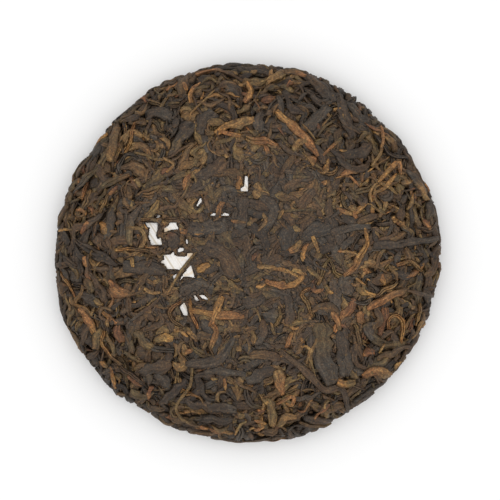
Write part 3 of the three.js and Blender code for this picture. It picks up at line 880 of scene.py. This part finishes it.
def sampled(values, x, y):
    # A chart's values at places between its cells.
    i = np.clip((y + pile["half"]) / pile["pitch"] - 0.5, 0, pile["size"] - 1.001)
    j = np.clip((x + pile["half"]) / pile["pitch"] - 0.5, 0, pile["size"] - 1.001)
    i0, j0 = i.astype(int), j.astype(int)
    fi, fj = i - i0, j - j0
    upper = values[i0, j0] * (1 - fj) + values[i0, j0 + 1] * fj
    lower = values[i0 + 1, j0] * (1 - fj) + values[i0 + 1, j0 + 1] * fj
    return upper * (1 - fi) + lower * fi


def pressed(side, x, y, z):
    # The real place of a point at height z of the pile.
    distance = np.hypot(x, y)
    share = np.clip((distance - pressing["from"]) / (pressing["to"] - pressing["from"]), 0, 1)
    share = (share * share * (3 - 2 * share)) ** pressing["fade"]
    inner, outer = pressing["relief"][side]
    lift = pressing["proud"] + (z - sampled(levelTop[side], x, y)) * (inner + (outer - inner) * share)
    over = np.maximum(lift - pressing["proud"] - pressing["cap"], 0)
    lift = lift - over * (1 - pressing["past"])
    lift = lift + undulate(onBody(side, x, y, np.zeros_like(x)))
    places = onBody(side, x, y, lift)
    table = pressing["table"]
    low = np.minimum(places[..., 2], table)
    places[..., 2] = np.where(places[..., 2] < table, table * np.exp(low / table - 1), places[..., 2])
    return places


def quadMesh(name, points, quads, smooth=True):
    mesh = bpy.data.meshes.new(name)
    mesh.vertices.add(len(points))
    mesh.vertices.foreach_set("co", (np.asarray(points) * mm).ravel())
    mesh.loops.add(quads.size)
    mesh.loops.foreach_set("vertex_index", quads.ravel())
    mesh.polygons.add(len(quads))
    mesh.polygons.foreach_set("loop_start", np.arange(len(quads)) * 4)
    mesh.polygons.foreach_set("loop_total", np.full(len(quads), 4))
    mesh.polygons.foreach_set("use_smooth", np.full(len(quads), smooth))
    mesh.update(calc_edges=True)
    piece = bpy.data.objects.new(name, mesh)
    bpy.context.scene.collection.objects.link(piece)
    return piece


# How the leaves lie in the unwrap, in millimetres: each has margins, and its ends bulge out beside its sides.
bake = {"margin": (1.3, 0.3), "bulge": 0.9, "apart": 0.1, "slack": 1.02}


def leafFaces(stations, count, length, girth):
    # A closed strip's sides, then a fan over each end, and the same faces laid out flat.
    i, j = np.meshgrid(np.arange(stations - 1), np.arange(count), indexing="ij")
    a, b = i * count + j, i * count + (j + 1) % count
    sides = np.stack((a, a + count, b + count, b), axis=-1).reshape(-1, 4)
    fan = np.array([(0, k, k + 1, k + 2) for k in range(1, count - 1, 2)])
    last = (stations - 1) * count
    step, width = length / (stations - 1), girth / count
    corners = [((i + di) * step, (j + dj) * width) for di, dj in ((0, 0), (1, 0), (1, 1), (0, 1))]
    layout = np.stack([np.stack(c, axis=-1) for c in corners], axis=2).reshape(-1, 4, 2)
    around = np.sin(math.pi * fan / (count - 1))
    start = np.stack((-bake["bulge"] * around - bake["apart"], fan * width), axis=-1)
    end = start[:, ::-1] * (-1, 1) + (length, 0)
    return np.vstack((sides, fan, last + fan[:, ::-1])), np.concatenate((layout, start, end))


def shelves(sizes):
    # Places for many rectangles in one square, in rows of like height.
    order = sorted(range(len(sizes)), key=lambda k: -sizes[k][1])
    across = math.sqrt(sum(w * h for w, h in sizes)) * bake["slack"]
    spots, x, y, row = [None] * len(sizes), 0.0, 0.0, 0.0
    for k in order:
        w, h = sizes[k]
        if x + w > across:
            x, y, row = 0.0, y + row, 0.0
        row = max(row, h)
        spots[k] = (x, y)
        x += w
    return spots, max(across, y + row)


def addAttribute(mesh, group, name, kind, field, fill):
    # The leaves' own values at each point, with one more column.
    values = np.vstack([leaf[name].reshape(-1, leaf[name].shape[-1]) for leaf in group])
    values = np.hstack((values, np.full((len(values), 1), fill)))
    made = mesh.attributes.new(name, kind, "POINT")
    made.data.foreach_set(field, values.astype(np.float32).ravel())


def leafPiece(name, side, group):
    points, quads, layouts, offset = [], [], [], 0
    marginX, marginY = bake["margin"]
    spots, extent = shelves([(leaf["length"] + 2 * marginX, leaf["girth"] + 2 * marginY) for leaf in group])
    for leaf, (spotX, spotY) in zip(group, spots):
        stations, count = leaf["z"].shape
        points.append(pressed(side, leaf["x"], leaf["y"], leaf["z"]).reshape(-1, 3))
        faces, layout = leafFaces(stations, count, leaf["length"], leaf["girth"])
        if side == "top":  # the back's chart is a mirror image
            faces, layout = faces[:, ::-1], layout[:, ::-1]
        quads.append(faces + offset)
        layouts.append((layout + (spotX + marginX, spotY + marginY)) / extent)
        offset += stations * count
    piece = quadMesh(name, np.vstack(points), np.vstack(quads))
    addAttribute(piece.data, group, "tint", "FLOAT_COLOR", "color", 1)
    addAttribute(piece.data, group, "grain", "FLOAT_VECTOR", "vector", 0)
    unwrapped = piece.data.uv_layers.new(name="OFBake")
    unwrapped.data.foreach_set("uv", np.concatenate(layouts).astype(np.float32).ravel())
    return piece


# The dark core under the leaves: the same form, pressed from just below the pile's floor. Its near-black dust
# is partly painted shade of the deep gaps between leaves.
core = {
    "rings": 150, "spokes": 300, "depth": 0.25, "crumble": 0.22, "crumbSize": 1.7,
    "pocket": 3.2, "pocketMargin": (0.5, 1),  # it leaves room for the ticket
}


def polarMesh(name, rings, spokes, placed):
    # A closed round skin from the top's middle to the back's, with placed(side, x, y) giving its points.
    angles = np.arange(spokes) * 2 * math.pi / spokes
    points = []
    for distance in np.linspace(0, profileLength, rings + 1)[1:-1]:
        side = "top" if distance < profileLength / 2 else "back"
        reach = distance if side == "top" else profileLength - distance
        points.append(placed(side, reach * np.cos(angles), reach * np.sin(angles)))
    poles = [placed(side, np.zeros(1), np.zeros(1)) for side in ("top", "back")]
    i, j = np.meshgrid(np.arange(rings - 2), np.arange(spokes), indexing="ij")
    a, b = i * spokes + j, i * spokes + (j + 1) % spokes
    quads = np.stack((a, a + spokes, b + spokes, b), axis=-1).reshape(-1, 4)
    points = np.vstack((*points, *poles))
    piece = quadMesh(name, points, quads)
    lastRing, topPole, backPole = (rings - 2) * spokes, len(points) - 2, len(points) - 1
    spare = bmesh.new()
    spare.from_mesh(piece.data)
    spare.verts.ensure_lookup_table()
    for j in range(spokes):
        k = (j + 1) % spokes
        spare.faces.new([spare.verts[v] for v in (topPole, j, k)]).smooth = True
        spare.faces.new([spare.verts[v] for v in (backPole, lastRing + k, lastRing + j)]).smooth = True
    spare.to_mesh(piece.data)
    spare.free()
    return piece


def corePlace(side, x, y):
    plain = onBody(side, x, y, np.zeros_like(x)) / core["crumbSize"]
    rough = np.array([noise.noise(Vector(p)) for p in plain])
    depth = core["depth"] + core["crumble"] * (1 - rough)
    if side == "top":
        depth = depth + core["pocket"] * overTicket(x, y, core["pocketMargin"])
    return pressed(side, x, y, -depth)


coreCake = polarMesh("tea_core", core["rings"], core["spokes"], corePlace)
print("stage: core made")

pieces = {}
for (kind, side), group in leaves.items():
    name = kind if side == "top" else "back_" + kind
    pieces[name] = leafPiece(name, side, group)
    faces = sum(len(p.vertices) - 2 for p in pieces[name].data.polygons)
    print("stage:", name, len(group), "leaves,", faces, "triangles")


# The ticket: a thin sheet under the top leaves, a little wavy and creased. A near-black sheet of dust and
# painted shade covers it outside the gaps.
ticket = {
    "x": -26.3, "y": 2.55, "width": 55, "height": 74, "turn": 2, "thickness": 0.12, "depth": 0.42,
    "across": 110, "along": 148,  # cells of its grid
    "waves": 0.16, "waveSize": 9, "creases": 0.16, "creaseGap": 4.6, "creaseTurn": 28, "creaseBend": 0.8,
    "dust": {"lift": 0.12, "margin": 0.8, "snap": 0.27, "thickness": 0.1},
}


def turnedBy(degrees, x, y):
    turn = math.radians(degrees)
    return x * math.cos(turn) - y * math.sin(turn), x * math.sin(turn) + y * math.cos(turn)


def ticketGrid(margin):
    # Even points over the ticket, as places on the top's chart, and the paper's height at each.
    half = ticket["width"] / 2 + margin, ticket["height"] / 2 + margin
    counts = ticket["across"] + 1, ticket["along"] + 1
    grid = np.meshgrid(*(np.linspace(-size, size, count) for size, count in zip(half, counts)))
    u, v = (values.ravel() for values in grid)
    x, y = turnedBy(ticket["turn"], u, v)
    chart = np.array([onChart(ticket["x"] + a, ticket["y"] + b) for a, b in zip(x, y)])
    wavePlaces = np.stack((u / ticket["waveSize"], v / ticket["waveSize"], np.full(len(u), 0.5)), axis=-1)
    wave = np.array([noise.noise(Vector(place)) for place in wavePlaces])
    along = turnedBy(-ticket["creaseTurn"], u, v)[0] / ticket["creaseGap"] + ticket["creaseBend"] * wave
    crease = (1 - 2 * np.abs(along - np.round(along))) ** 8
    return chart, ticket["waves"] * wave + ticket["creases"] * crease - ticket["depth"]


def thickSheet(name, chart, z, thickness, keep):
    # A closed sheet from a grid of points, over the cells that are kept.
    relief = pressing["relief"]["top"][0]
    face = pressed("top", chart[:, 0], chart[:, 1], z / relief)
    points = np.vstack((face, face - (0, 0, thickness)))
    columns, lower = ticket["across"] + 1, len(face)
    framed = np.pad(keep, 1)
    quads = []
    for i, j in np.argwhere(keep):
        a, b = i * columns + j, i * columns + j + 1
        c, d = b + columns, a + columns
        quads.append((a, b, c, d))
        quads.append((d + lower, c + lower, b + lower, a + lower))
        neighbours = framed[i, j + 1], framed[i + 1, j + 2], framed[i + 2, j + 1], framed[i + 1, j]
        for kept, start, end in zip(neighbours, (a, b, c, d), (b, c, d, a)):
            if not kept:
                quads.append((end, start, start + lower, end + lower))
    used, quads = np.unique(np.array(quads), return_inverse=True)
    return quadMesh(name, points[used], quads.reshape(-1, 4))


def ticketSheet():
    chart, z = ticketGrid(0)
    whole = np.ones((ticket["along"], ticket["across"]), bool)
    return thickSheet("ticket_sheet", chart, z, ticket["thickness"], whole)


def edgesOf(corners):
    return zip(np.array(corners), np.array(corners[1:] + corners[:1]))


def closestOn(places, a, b):
    # The places' closest points on one edge, and how far away those are.
    along = np.clip((places - a) @ (b - a) / ((b - a) @ (b - a)), 0, 1)[:, None]
    closest = a + along * (b - a)
    return closest, np.hypot(*(places - closest).T)


def dustAndShadeSheet():
    dust = ticket["dust"]
    chart, z = ticketGrid(dust["margin"])
    x, y = chart.reshape(ticket["along"] + 1, ticket["across"] + 1, 2).transpose(2, 0, 1)
    x, y = (x[1:, 1:] + x[:-1, :-1]) / 2, (y[1:, 1:] + y[:-1, :-1]) / 2
    bare = np.zeros(x.shape, bool)
    for corners in gapOutlines:
        for a, b in edgesOf(corners):  # points close to the outline are drawn onto it
            closest, away = closestOn(chart, a, b)
            chart = np.where(away[:, None] < dust["snap"], closest, chart)
        bare |= inside(x, y, corners)
    return thickSheet("ticket_dust", chart, z + dust["lift"], dust["thickness"], ~bare)


ticketPiece = ticketSheet()
dustAndShadePiece = dustAndShadeSheet()
print("stage: ticket made")


# Crumbs of leaf, scattered by geometry nodes over a softened face: they show where the leaves lie low.
crumbs = {
    "size": 0.42, "density": 0.05,  # for each square millimetre
    "seed": 12, "smallest": (0.5, 0.4, 0.2), "largest": (1.9, 0.9, 0.5),  # in sizes, along each axis
    "dents": 1.7, "rings": 170, "spokes": 340, "blur": 0.4, "sink": 0.1,
    "clear": 0.9,  # how far from a gap they stay
    "lowest": 0.05,  # over the table
}


def crumbGround(side, x, y):
    return pressed(side, x, y, sampled(softTop[side], x, y) - crumbs["sink"])


softTop = {side: blurred(heights, crumbs["blur"]) for side, heights in pileTop.items()}
ground = polarMesh("crumb_ground", crumbs["rings"], crumbs["spokes"], crumbGround)


def clearGaps(piece):
    # Takes the ground away round the gaps, so that no crumb lies on the paper.
    shell = bmesh.new()
    shell.from_mesh(piece.data)
    places = np.array([vertex.co[:] for vertex in shell.verts]) / mm
    near = np.zeros(len(places), bool)
    for corners in ticketGaps.values():
        near |= inside(places[:, 0], places[:, 1], corners)
        for a, b in edgesOf(corners):
            near |= closestOn(places[:, :2], a, b)[1] < crumbs["clear"]
    near &= places[:, 2] > places[:, 2].max() / 2
    bmesh.ops.delete(shell, geom=[vertex for vertex, hit in zip(shell.verts, near) if hit], context="VERTS")
    shell.to_mesh(piece.data)
    shell.free()


clearGaps(ground)


def setInputs(tree, node, inputs):
    # An input is linked where it is given another node's socket, and otherwise set.
    for name, value in inputs.items():
        if isinstance(value, bpy.types.NodeSocket):
            tree.links.new(value, node.inputs[name])
        else:
            node.inputs[name].default_value = value


def addNode(tree, kind, inputs=None, **settings):
    node = tree.nodes.new(kind)
    for name, value in settings.items():
        setattr(node, name, value)
    setInputs(tree, node, inputs or {})
    return node.outputs


def crumbTree(material):
    tree = bpy.data.node_groups.new("scatterCrumbs", "GeometryNodeTree")
    inputs = {"Geometry": "Geometry", "Density": "Float", "Crumb Size": "Float", "Seed": "Int"}
    for name, kind in inputs.items():
        socket = tree.interface.new_socket(name=name, in_out="INPUT", socket_type="NodeSocket" + kind)
        inputs[name] = socket.identifier
    tree.interface.new_socket(name="Geometry", in_out="OUTPUT", socket_type="NodeSocketGeometry")
    given = addNode(tree, "NodeGroupInput")
    scattered = addNode(tree, "GeometryNodeDistributePointsOnFaces", {
        "Mesh": given["Geometry"], "Density": given["Density"], "Seed": given["Seed"],
    })
    ball = addNode(tree, "GeometryNodeMeshIcoSphere", {"Radius": 1, "Subdivisions": 1})
    rough = addNode(tree, "ShaderNodeTexNoise", {"Scale": crumbs["dents"]})
    dents = addNode(tree, "ShaderNodeVectorMath", {
        0: rough["Color"], 1: (0.5, 0.5, 0.5),
    }, operation="SUBTRACT")
    chip = addNode(tree, "GeometryNodeSetPosition", {"Geometry": ball["Mesh"], "Offset": dents["Vector"]})
    sizes = addNode(tree, "FunctionNodeRandomValue", {
        "Min": crumbs["smallest"], "Max": crumbs["largest"], "Seed": given["Seed"],
    }, data_type="FLOAT_VECTOR")
    scale = addNode(tree, "ShaderNodeVectorMath", {
        0: sizes["Value"], "Scale": given["Crumb Size"],
    }, operation="SCALE")
    spin = addNode(tree, "FunctionNodeRandomValue", {"Min": 0.0, "Max": 2 * math.pi}, data_type="FLOAT")
    around = addNode(tree, "FunctionNodeAxisAngleToRotation", {"Angle": spin["Value"]})
    turned = addNode(tree, "FunctionNodeRotateRotation", {
        "Rotation": scattered["Rotation"], "Rotate By": around["Rotation"],
    }, rotation_space="LOCAL")
    shade = addNode(tree, "FunctionNodeRandomValue", data_type="FLOAT")
    stored = addNode(tree, "GeometryNodeStoreNamedAttribute", {
        "Geometry": scattered["Points"], "Name": "shade", "Value": shade["Value"],
    }, data_type="FLOAT", domain="POINT")
    placed = addNode(tree, "GeometryNodeInstanceOnPoints", {
        "Points": stored["Geometry"], "Instance": chip["Geometry"], "Rotation": turned["Rotation"],
        "Scale": scale["Vector"],
    })
    real = addNode(tree, "GeometryNodeRealizeInstances", {"Geometry": placed["Instances"]})
    coat = addNode(tree, "GeometryNodeSetMaterial", {"Geometry": real["Geometry"], "Material": material})
    addNode(tree, "NodeGroupOutput", {"Geometry": coat["Geometry"]})
    return tree, inputs


def scatterCrumbs(material):
    tree, inputs = crumbTree(material)
    modifier = ground.modifiers.new("crumbs", "NODES")
    modifier.node_group = tree
    modifier[inputs["Density"]] = crumbs["density"] / mm**2
    modifier[inputs["Crumb Size"]] = crumbs["size"] * mm
    modifier[inputs["Seed"]] = crumbs["seed"]
    scene = bpy.context.evaluated_depsgraph_get()
    mesh = bpy.data.meshes.new_from_object(ground.evaluated_get(scene), depsgraph=scene)
    ground.modifiers.clear()
    for vertex in mesh.vertices:
        vertex.co.z = max(vertex.co.z, crumbs["lowest"] * mm)
    piece = bpy.data.objects.new("tea_crumbs", mesh)
    bpy.context.scene.collection.objects.link(piece)
    bpy.data.objects.remove(ground)
    return piece


def newMaterial(name):
    material = bpy.data.materials.new(name)
    material.use_nodes = True
    return material, material.node_tree


def addNoise(tree, place, scale, detail, roughness=0.6, distortion=0):
    return addNode(tree, "ShaderNodeTexNoise", {
        "Vector": place, "Scale": scale, "Detail": detail, "Roughness": roughness, "Distortion": distortion,
    })["Fac"]


def addRange(tree, value, fromLow=0.3, fromHigh=0.7, toLow=0, toHigh=1):
    return addNode(tree, "ShaderNodeMapRange", {
        "Value": value, "From Min": fromLow, "From Max": fromHigh, "To Min": toLow, "To Max": toHigh,
    })["Result"]


def addMix(tree, share, first, second, blend="MIX"):
    colours = [c if isinstance(c, bpy.types.NodeSocket) else (*c, 1) for c in (first, second)]
    inputs = {"Factor": share, "A": colours[0], "B": colours[1]}
    return addNode(tree, "ShaderNodeMix", inputs, data_type="RGBA", blend_type=blend)["Result"]


def addTimes(tree, first, second):
    return addMix(tree, 1.0, first, second, "MULTIPLY")


def finishShader(tree, colour, rough, specular, height=None, strength=0.8, depth=0.3):
    # Colour, roughness and gloss, and a bump with its depth in millimetres.
    shader = tree.nodes["Principled BSDF"]
    setInputs(tree, shader, {"Base Color": colour, "Roughness": rough, "Specular IOR Level": specular})
    if height:
        bump = {"Strength": strength, "Distance": depth * mm, "Height": height}
        setInputs(tree, shader, {"Normal": addNode(tree, "ShaderNodeBump", bump)["Normal"]})


# A finish has noises with their scale per metre, ranges from the noise's low and high to what they give, and
# bumps in millimetres.
leafFinish = {
    "patterns": {  # the first two run along a leaf, with scales along it and across it per millimetre
        "streak": {"scale": (0.16, 0.8, 1), "detail": 3, "distortion": 0.5},
        "fine": {"scale": (0.5, 1.8, 1), "detail": 3, "distortion": 0.3},
        "blotch": {"scale": 300, "detail": 3, "distortion": 0.8},
        "crumple": {"scale": 620, "detail": 3, "distortion": 1.2},
        "dust": {"scale": 1300, "detail": 2},
    },
    # Where a noise also raises the bump (streak, fine, crumple, dust), its tone is lighter on the raised
    # grain and darker in the hollows: leaf grain, with painted highlight and painted shade.
    "toneFrom": (0.32, 0.68),
    "tones": {"streak": (0.62, 1.4), "fine": (0.6, 1.44), "blotch": (0.8, 1.2), "crumple": (0.75, 1.23),
              "dust": (0.72, 1.3)},
    "mottle": {"scale": 560, "detail": 4, "roughness": 0.7, "distortion": 1.6},
    "mottleFrom": (0.4, 0.6),
    "dull": (0.66, 0.62, 0.55),
    "bright": (1.42, 1.36, 1.2),
    "mottled": (0.025, 0.085, 0.15, 1),  # the lighter the leaf, the more of the mottle
    "hueFrom": (0.38, 0.62),
    "warm": (1.1, 0.98, 0.86),
    "cool": (0.93, 1.0, 1.06),
    "pale": (0.56, 0.74, 0, 0.34),  # how much of it dust hides
    "rough": (0.3, 0.7, 0.4, 0.74),
    "specular": 0.35,
    "bump": 0.5,
    "bumpShares": {"fine": 0.6, "crumple": 0.8, "dust": 0.25},  # beside the streaks
}


def leafMaterial(name):
    material, tree = newMaterial(name)
    # The tint holds the leaf's tones with painted shade at its edges, folds, underside and towards the rim,
    # and painted highlight on its ridges.
    tint = addNode(tree, "ShaderNodeAttribute", attribute_name="tint")["Color"]
    grain = addNode(tree, "ShaderNodeAttribute", attribute_name="grain")["Vector"]
    place = addNode(tree, "ShaderNodeTexCoord")["Object"]
    colour, noises = tint, {}
    for key, pattern in leafFinish["patterns"].items():
        if key in ("streak", "fine"):
            along = addNode(tree, "ShaderNodeMapping", {"Vector": grain, "Scale": pattern["scale"]})["Vector"]
            noises[key] = addNoise(tree, along, **{**pattern, "scale": 1})
        else:
            noises[key] = addNoise(tree, place, **pattern)
        # Where this noise also raises the bump, its tone is partly painted highlight on the raised grain and
        # painted shade in the hollows.
        tone = addRange(tree, noises[key], *leafFinish["toneFrom"], *leafFinish["tones"][key])
        colour = addTimes(tree, colour, tone)
    mottle = addRange(tree, addNoise(tree, place, **leafFinish["mottle"]), *leafFinish["mottleFrom"])
    mottle = addMix(tree, mottle, leafFinish["dull"], leafFinish["bright"])
    light = addNode(tree, "ShaderNodeRGBToBW", {"Color": tint})["Val"]
    share = addRange(tree, light, *leafFinish["mottled"])
    colour = addMix(tree, share, colour, addTimes(tree, colour, mottle))
    hue = addRange(tree, noises["blotch"], *leafFinish["hueFrom"])
    colour = addTimes(tree, colour, addMix(tree, hue, leafFinish["warm"], leafFinish["cool"]))
    colour = addMix(tree, addRange(tree, noises["dust"], *leafFinish["pale"]), colour, tones["tan"])
    height = noises["streak"]
    for key, share in leafFinish["bumpShares"].items():
        inputs = {0: noises[key], 1: share, 2: height}
        height = addNode(tree, "ShaderNodeMath", inputs, operation="MULTIPLY_ADD")["Value"]
    rough = addRange(tree, noises["fine"], *leafFinish["rough"])
    finishShader(tree, colour, rough, leafFinish["specular"], height, depth=leafFinish["bump"])
    return material


# Near-black leaf dust, partly painted shade of the deep gaps between leaves, on the core and on the sheet
# over the ticket.
dustAndShadeFinish = {
    "grit": {"scale": 900, "detail": 5, "roughness": 0.65},
    "lightFrom": (0.35, 0.7),
    "dark": 0.35,
    "light": 0.7,
    "rough": (0.3, 0.7, 0.75, 0.95),
    "specular": 0.2,
    "bump": 0.3,
}


def dustAndShadeMaterial():
    material, tree = newMaterial("leaf dust")
    grit = addNoise(tree, addNode(tree, "ShaderNodeTexCoord")["Object"], **dustAndShadeFinish["grit"])
    dark, light = tones["charcoal"] * dustAndShadeFinish["dark"], tones["umber"] * dustAndShadeFinish["light"]
    colour = addMix(tree, addRange(tree, grit, *dustAndShadeFinish["lightFrom"]), dark, light)
    rough = addRange(tree, grit, *dustAndShadeFinish["rough"])
    finishShader(tree, colour, rough, dustAndShadeFinish["specular"], grit, depth=dustAndShadeFinish["bump"])
    return material


paperFinish = {
    "fibre": {"scale": 1500, "detail": 4},
    "stain": {"scale": 150, "detail": 4, "roughness": 0.55, "distortion": 0.6},
    "stainShare": (0.58, 0.7, 0, 0.6),
    "crease": {"scale": 1, "detail": 3, "roughness": 0.55, "distortion": 0.3},
    "creaseSize": (34, 1.3),  # how long and how far apart, in millimetres
    "creaseTurn": -57,
    "creaseShare": (0.52, 0.62, 0, 0.75),
    "spots": ((-29.6, -1.0, 2.4), (-42.6, 11.2, 2.2)),  # where tea has stained it, and how far
    "spotShare": 0.85,
    "light": (232, 229, 225),
    "shade": (218, 214, 209),
    "stained": (214, 190, 158),
    "creased": (190, 178, 158),
    "rough": (0.3, 0.7, 0.8, 0.95),
    "specular": 0.2,
    "bump": 0.08,
    "bumpStrength": 0.4,
}


def paperMaterial():
    material, tree = newMaterial("ticket paper")
    place = addNode(tree, "ShaderNodeTexCoord")["Object"]
    light, shade, stained, creased = (
        screenTone(*paperFinish[key]) for key in ("light", "shade", "stained", "creased")
    )
    fibre = addNoise(tree, place, **paperFinish["fibre"])
    stain = addNoise(tree, place, **paperFinish["stain"])
    lines = addNode(tree, "ShaderNodeMapping", {
        "Vector": place, "Rotation": (0, 0, math.radians(paperFinish["creaseTurn"])),
        "Scale": (*(size * mm for size in paperFinish["creaseSize"]), 1),
    }, vector_type="TEXTURE")
    crease = addNoise(tree, lines["Vector"], **paperFinish["crease"])
    colour = addMix(tree, addRange(tree, fibre), shade, light)
    colour = addMix(tree, addRange(tree, crease, *paperFinish["creaseShare"]), colour, creased)
    flatPlace = addNode(tree, "ShaderNodeMapping", {"Vector": place, "Scale": (1, 1, 0)})["Vector"]
    for x, y, reach in paperFinish["spots"]:
        inputs = {0: flatPlace, 1: (x * mm, y * mm, 0)}
        away = addNode(tree, "ShaderNodeVectorMath", inputs, operation="DISTANCE")["Value"]
        near = addRange(tree, away, 0.5 * reach * mm, reach * mm, paperFinish["spotShare"], 0)
        colour = addMix(tree, near, colour, stained)
    colour = addMix(tree, addRange(tree, stain, *paperFinish["stainShare"]), colour, stained)
    rough = addRange(tree, fibre, *paperFinish["rough"])
    finishShader(tree, colour, rough, paperFinish["specular"], crease,
                 paperFinish["bumpStrength"], paperFinish["bump"])
    return material


crumbFinish = {
    "grit": {"scale": 1400, "detail": 3},
    "gritTone": (0.3, 0.7, 0.6, 1.25),
    "tones": (("charcoal", 0), ("umber", 0.4), ("bark", 0.75), ("olive", 0.92), ("tan", 1)),
    "rough": (0.3, 0.7, 0.6, 0.85),
    "specular": 0.25,
}


def crumbMaterial():
    material, tree = newMaterial("leaf crumbs")
    shade = addNode(tree, "ShaderNodeAttribute", attribute_name="shade")["Fac"]
    grit = addNoise(tree, addNode(tree, "ShaderNodeTexCoord")["Object"], **crumbFinish["grit"])
    ramp = tree.nodes.new("ShaderNodeValToRGB")
    setInputs(tree, ramp, {"Fac": shade})
    steps = ramp.color_ramp.elements
    steps.remove(steps[1])
    for toneName, position in crumbFinish["tones"]:
        step = steps.new(position) if position else steps[0]
        step.color = (*tones[toneName], 1)
    colour = addTimes(tree, ramp.outputs["Color"], addRange(tree, grit, *crumbFinish["gritTone"]))
    rough = addRange(tree, grit, *crumbFinish["rough"])
    finishShader(tree, colour, rough, crumbFinish["specular"])
    return material


kindFinishes = {kind: leafMaterial(spec["finish"]) for kind, spec in leafKinds.items()}
crumbPiece = scatterCrumbs(crumbMaterial())
print("stage: crumbs scattered,", len(crumbPiece.data.polygons), "faces")

# The core and the sheet over the ticket take the near-black dust, which is partly painted shade of the gaps
# between leaves.
leafDustAndShade = dustAndShadeMaterial()
coreCake.data.materials.append(leafDustAndShade)
dustAndShadePiece.data.materials.append(leafDustAndShade)
ticketPiece.data.materials.append(paperMaterial())
for name, piece in pieces.items():
    piece.data.materials.append(kindFinishes[name.removeprefix("back_")])

for piece in (coreCake, dustAndShadePiece, crumbPiece, *pieces.values()):
    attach(piece, "root")
    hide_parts("tea_cake")
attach(ticketPiece, "root")
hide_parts("paper_ticket")
print("stage: pieces on the frame")


# The table, the light and the camera, in metres.
studio = {
    "floorSize": 4.0, "floorTone": 0.88, "floorRough": 0.9, "floorSpecular": 0.1,
    "sky": 1.16, "lamp": 1.4, "lampSize": 1.2, "lampAt": (0.0, 0.0, 1.8),
    "lens": 200, "sensor": 36, "cameraHeight": 1.441, "cameraAt": (0.00077, 0.00129), "sees": (0.05, 20),
}


def floorPlane():
    half = studio["floorSize"] / 2 / mm
    corners = np.array([(-half, -half, 0), (half, -half, 0), (half, half, 0), (-half, half, 0)])
    floor = quadMesh("floor", corners, np.array([[0, 1, 2, 3]]), False)
    material, tree = newMaterial("pale floor")
    finishShader(tree, (*[studio["floorTone"]] * 3, 1), studio["floorRough"], studio["floorSpecular"])
    floor.data.materials.append(material)


def light():
    world = bpy.data.worlds.new("soft sky")
    world.use_nodes = True
    sky = world.node_tree.nodes["Background"]
    setInputs(world.node_tree, sky, {"Color": (1, 1, 1, 1), "Strength": studio["sky"]})
    bpy.context.scene.world = world
    lamp = bpy.data.lights.new("softbox", "AREA")
    lamp.shape = "DISK"
    lamp.size = studio["lampSize"]
    lamp.energy = studio["lamp"]
    holder = bpy.data.objects.new("softbox", lamp)
    holder.location = studio["lampAt"]
    holder.rotation_euler = (-Vector(studio["lampAt"])).to_track_quat("-Z", "Y").to_euler()
    bpy.context.scene.collection.objects.link(holder)


def camera():
    view = bpy.data.cameras.new("camera")
    view.lens = studio["lens"]
    view.sensor_width = studio["sensor"]
    view.clip_start, view.clip_end = studio["sees"]
    holder = bpy.data.objects.new("camera", view)
    holder.location = (*studio["cameraAt"], studio["cameraHeight"])
    bpy.context.scene.collection.objects.link(holder)
    bpy.context.scene.camera = holder


floorPlane()
light()
camera()
bpy.context.scene.view_settings.view_transform = "Standard"
print("stage: studio set")
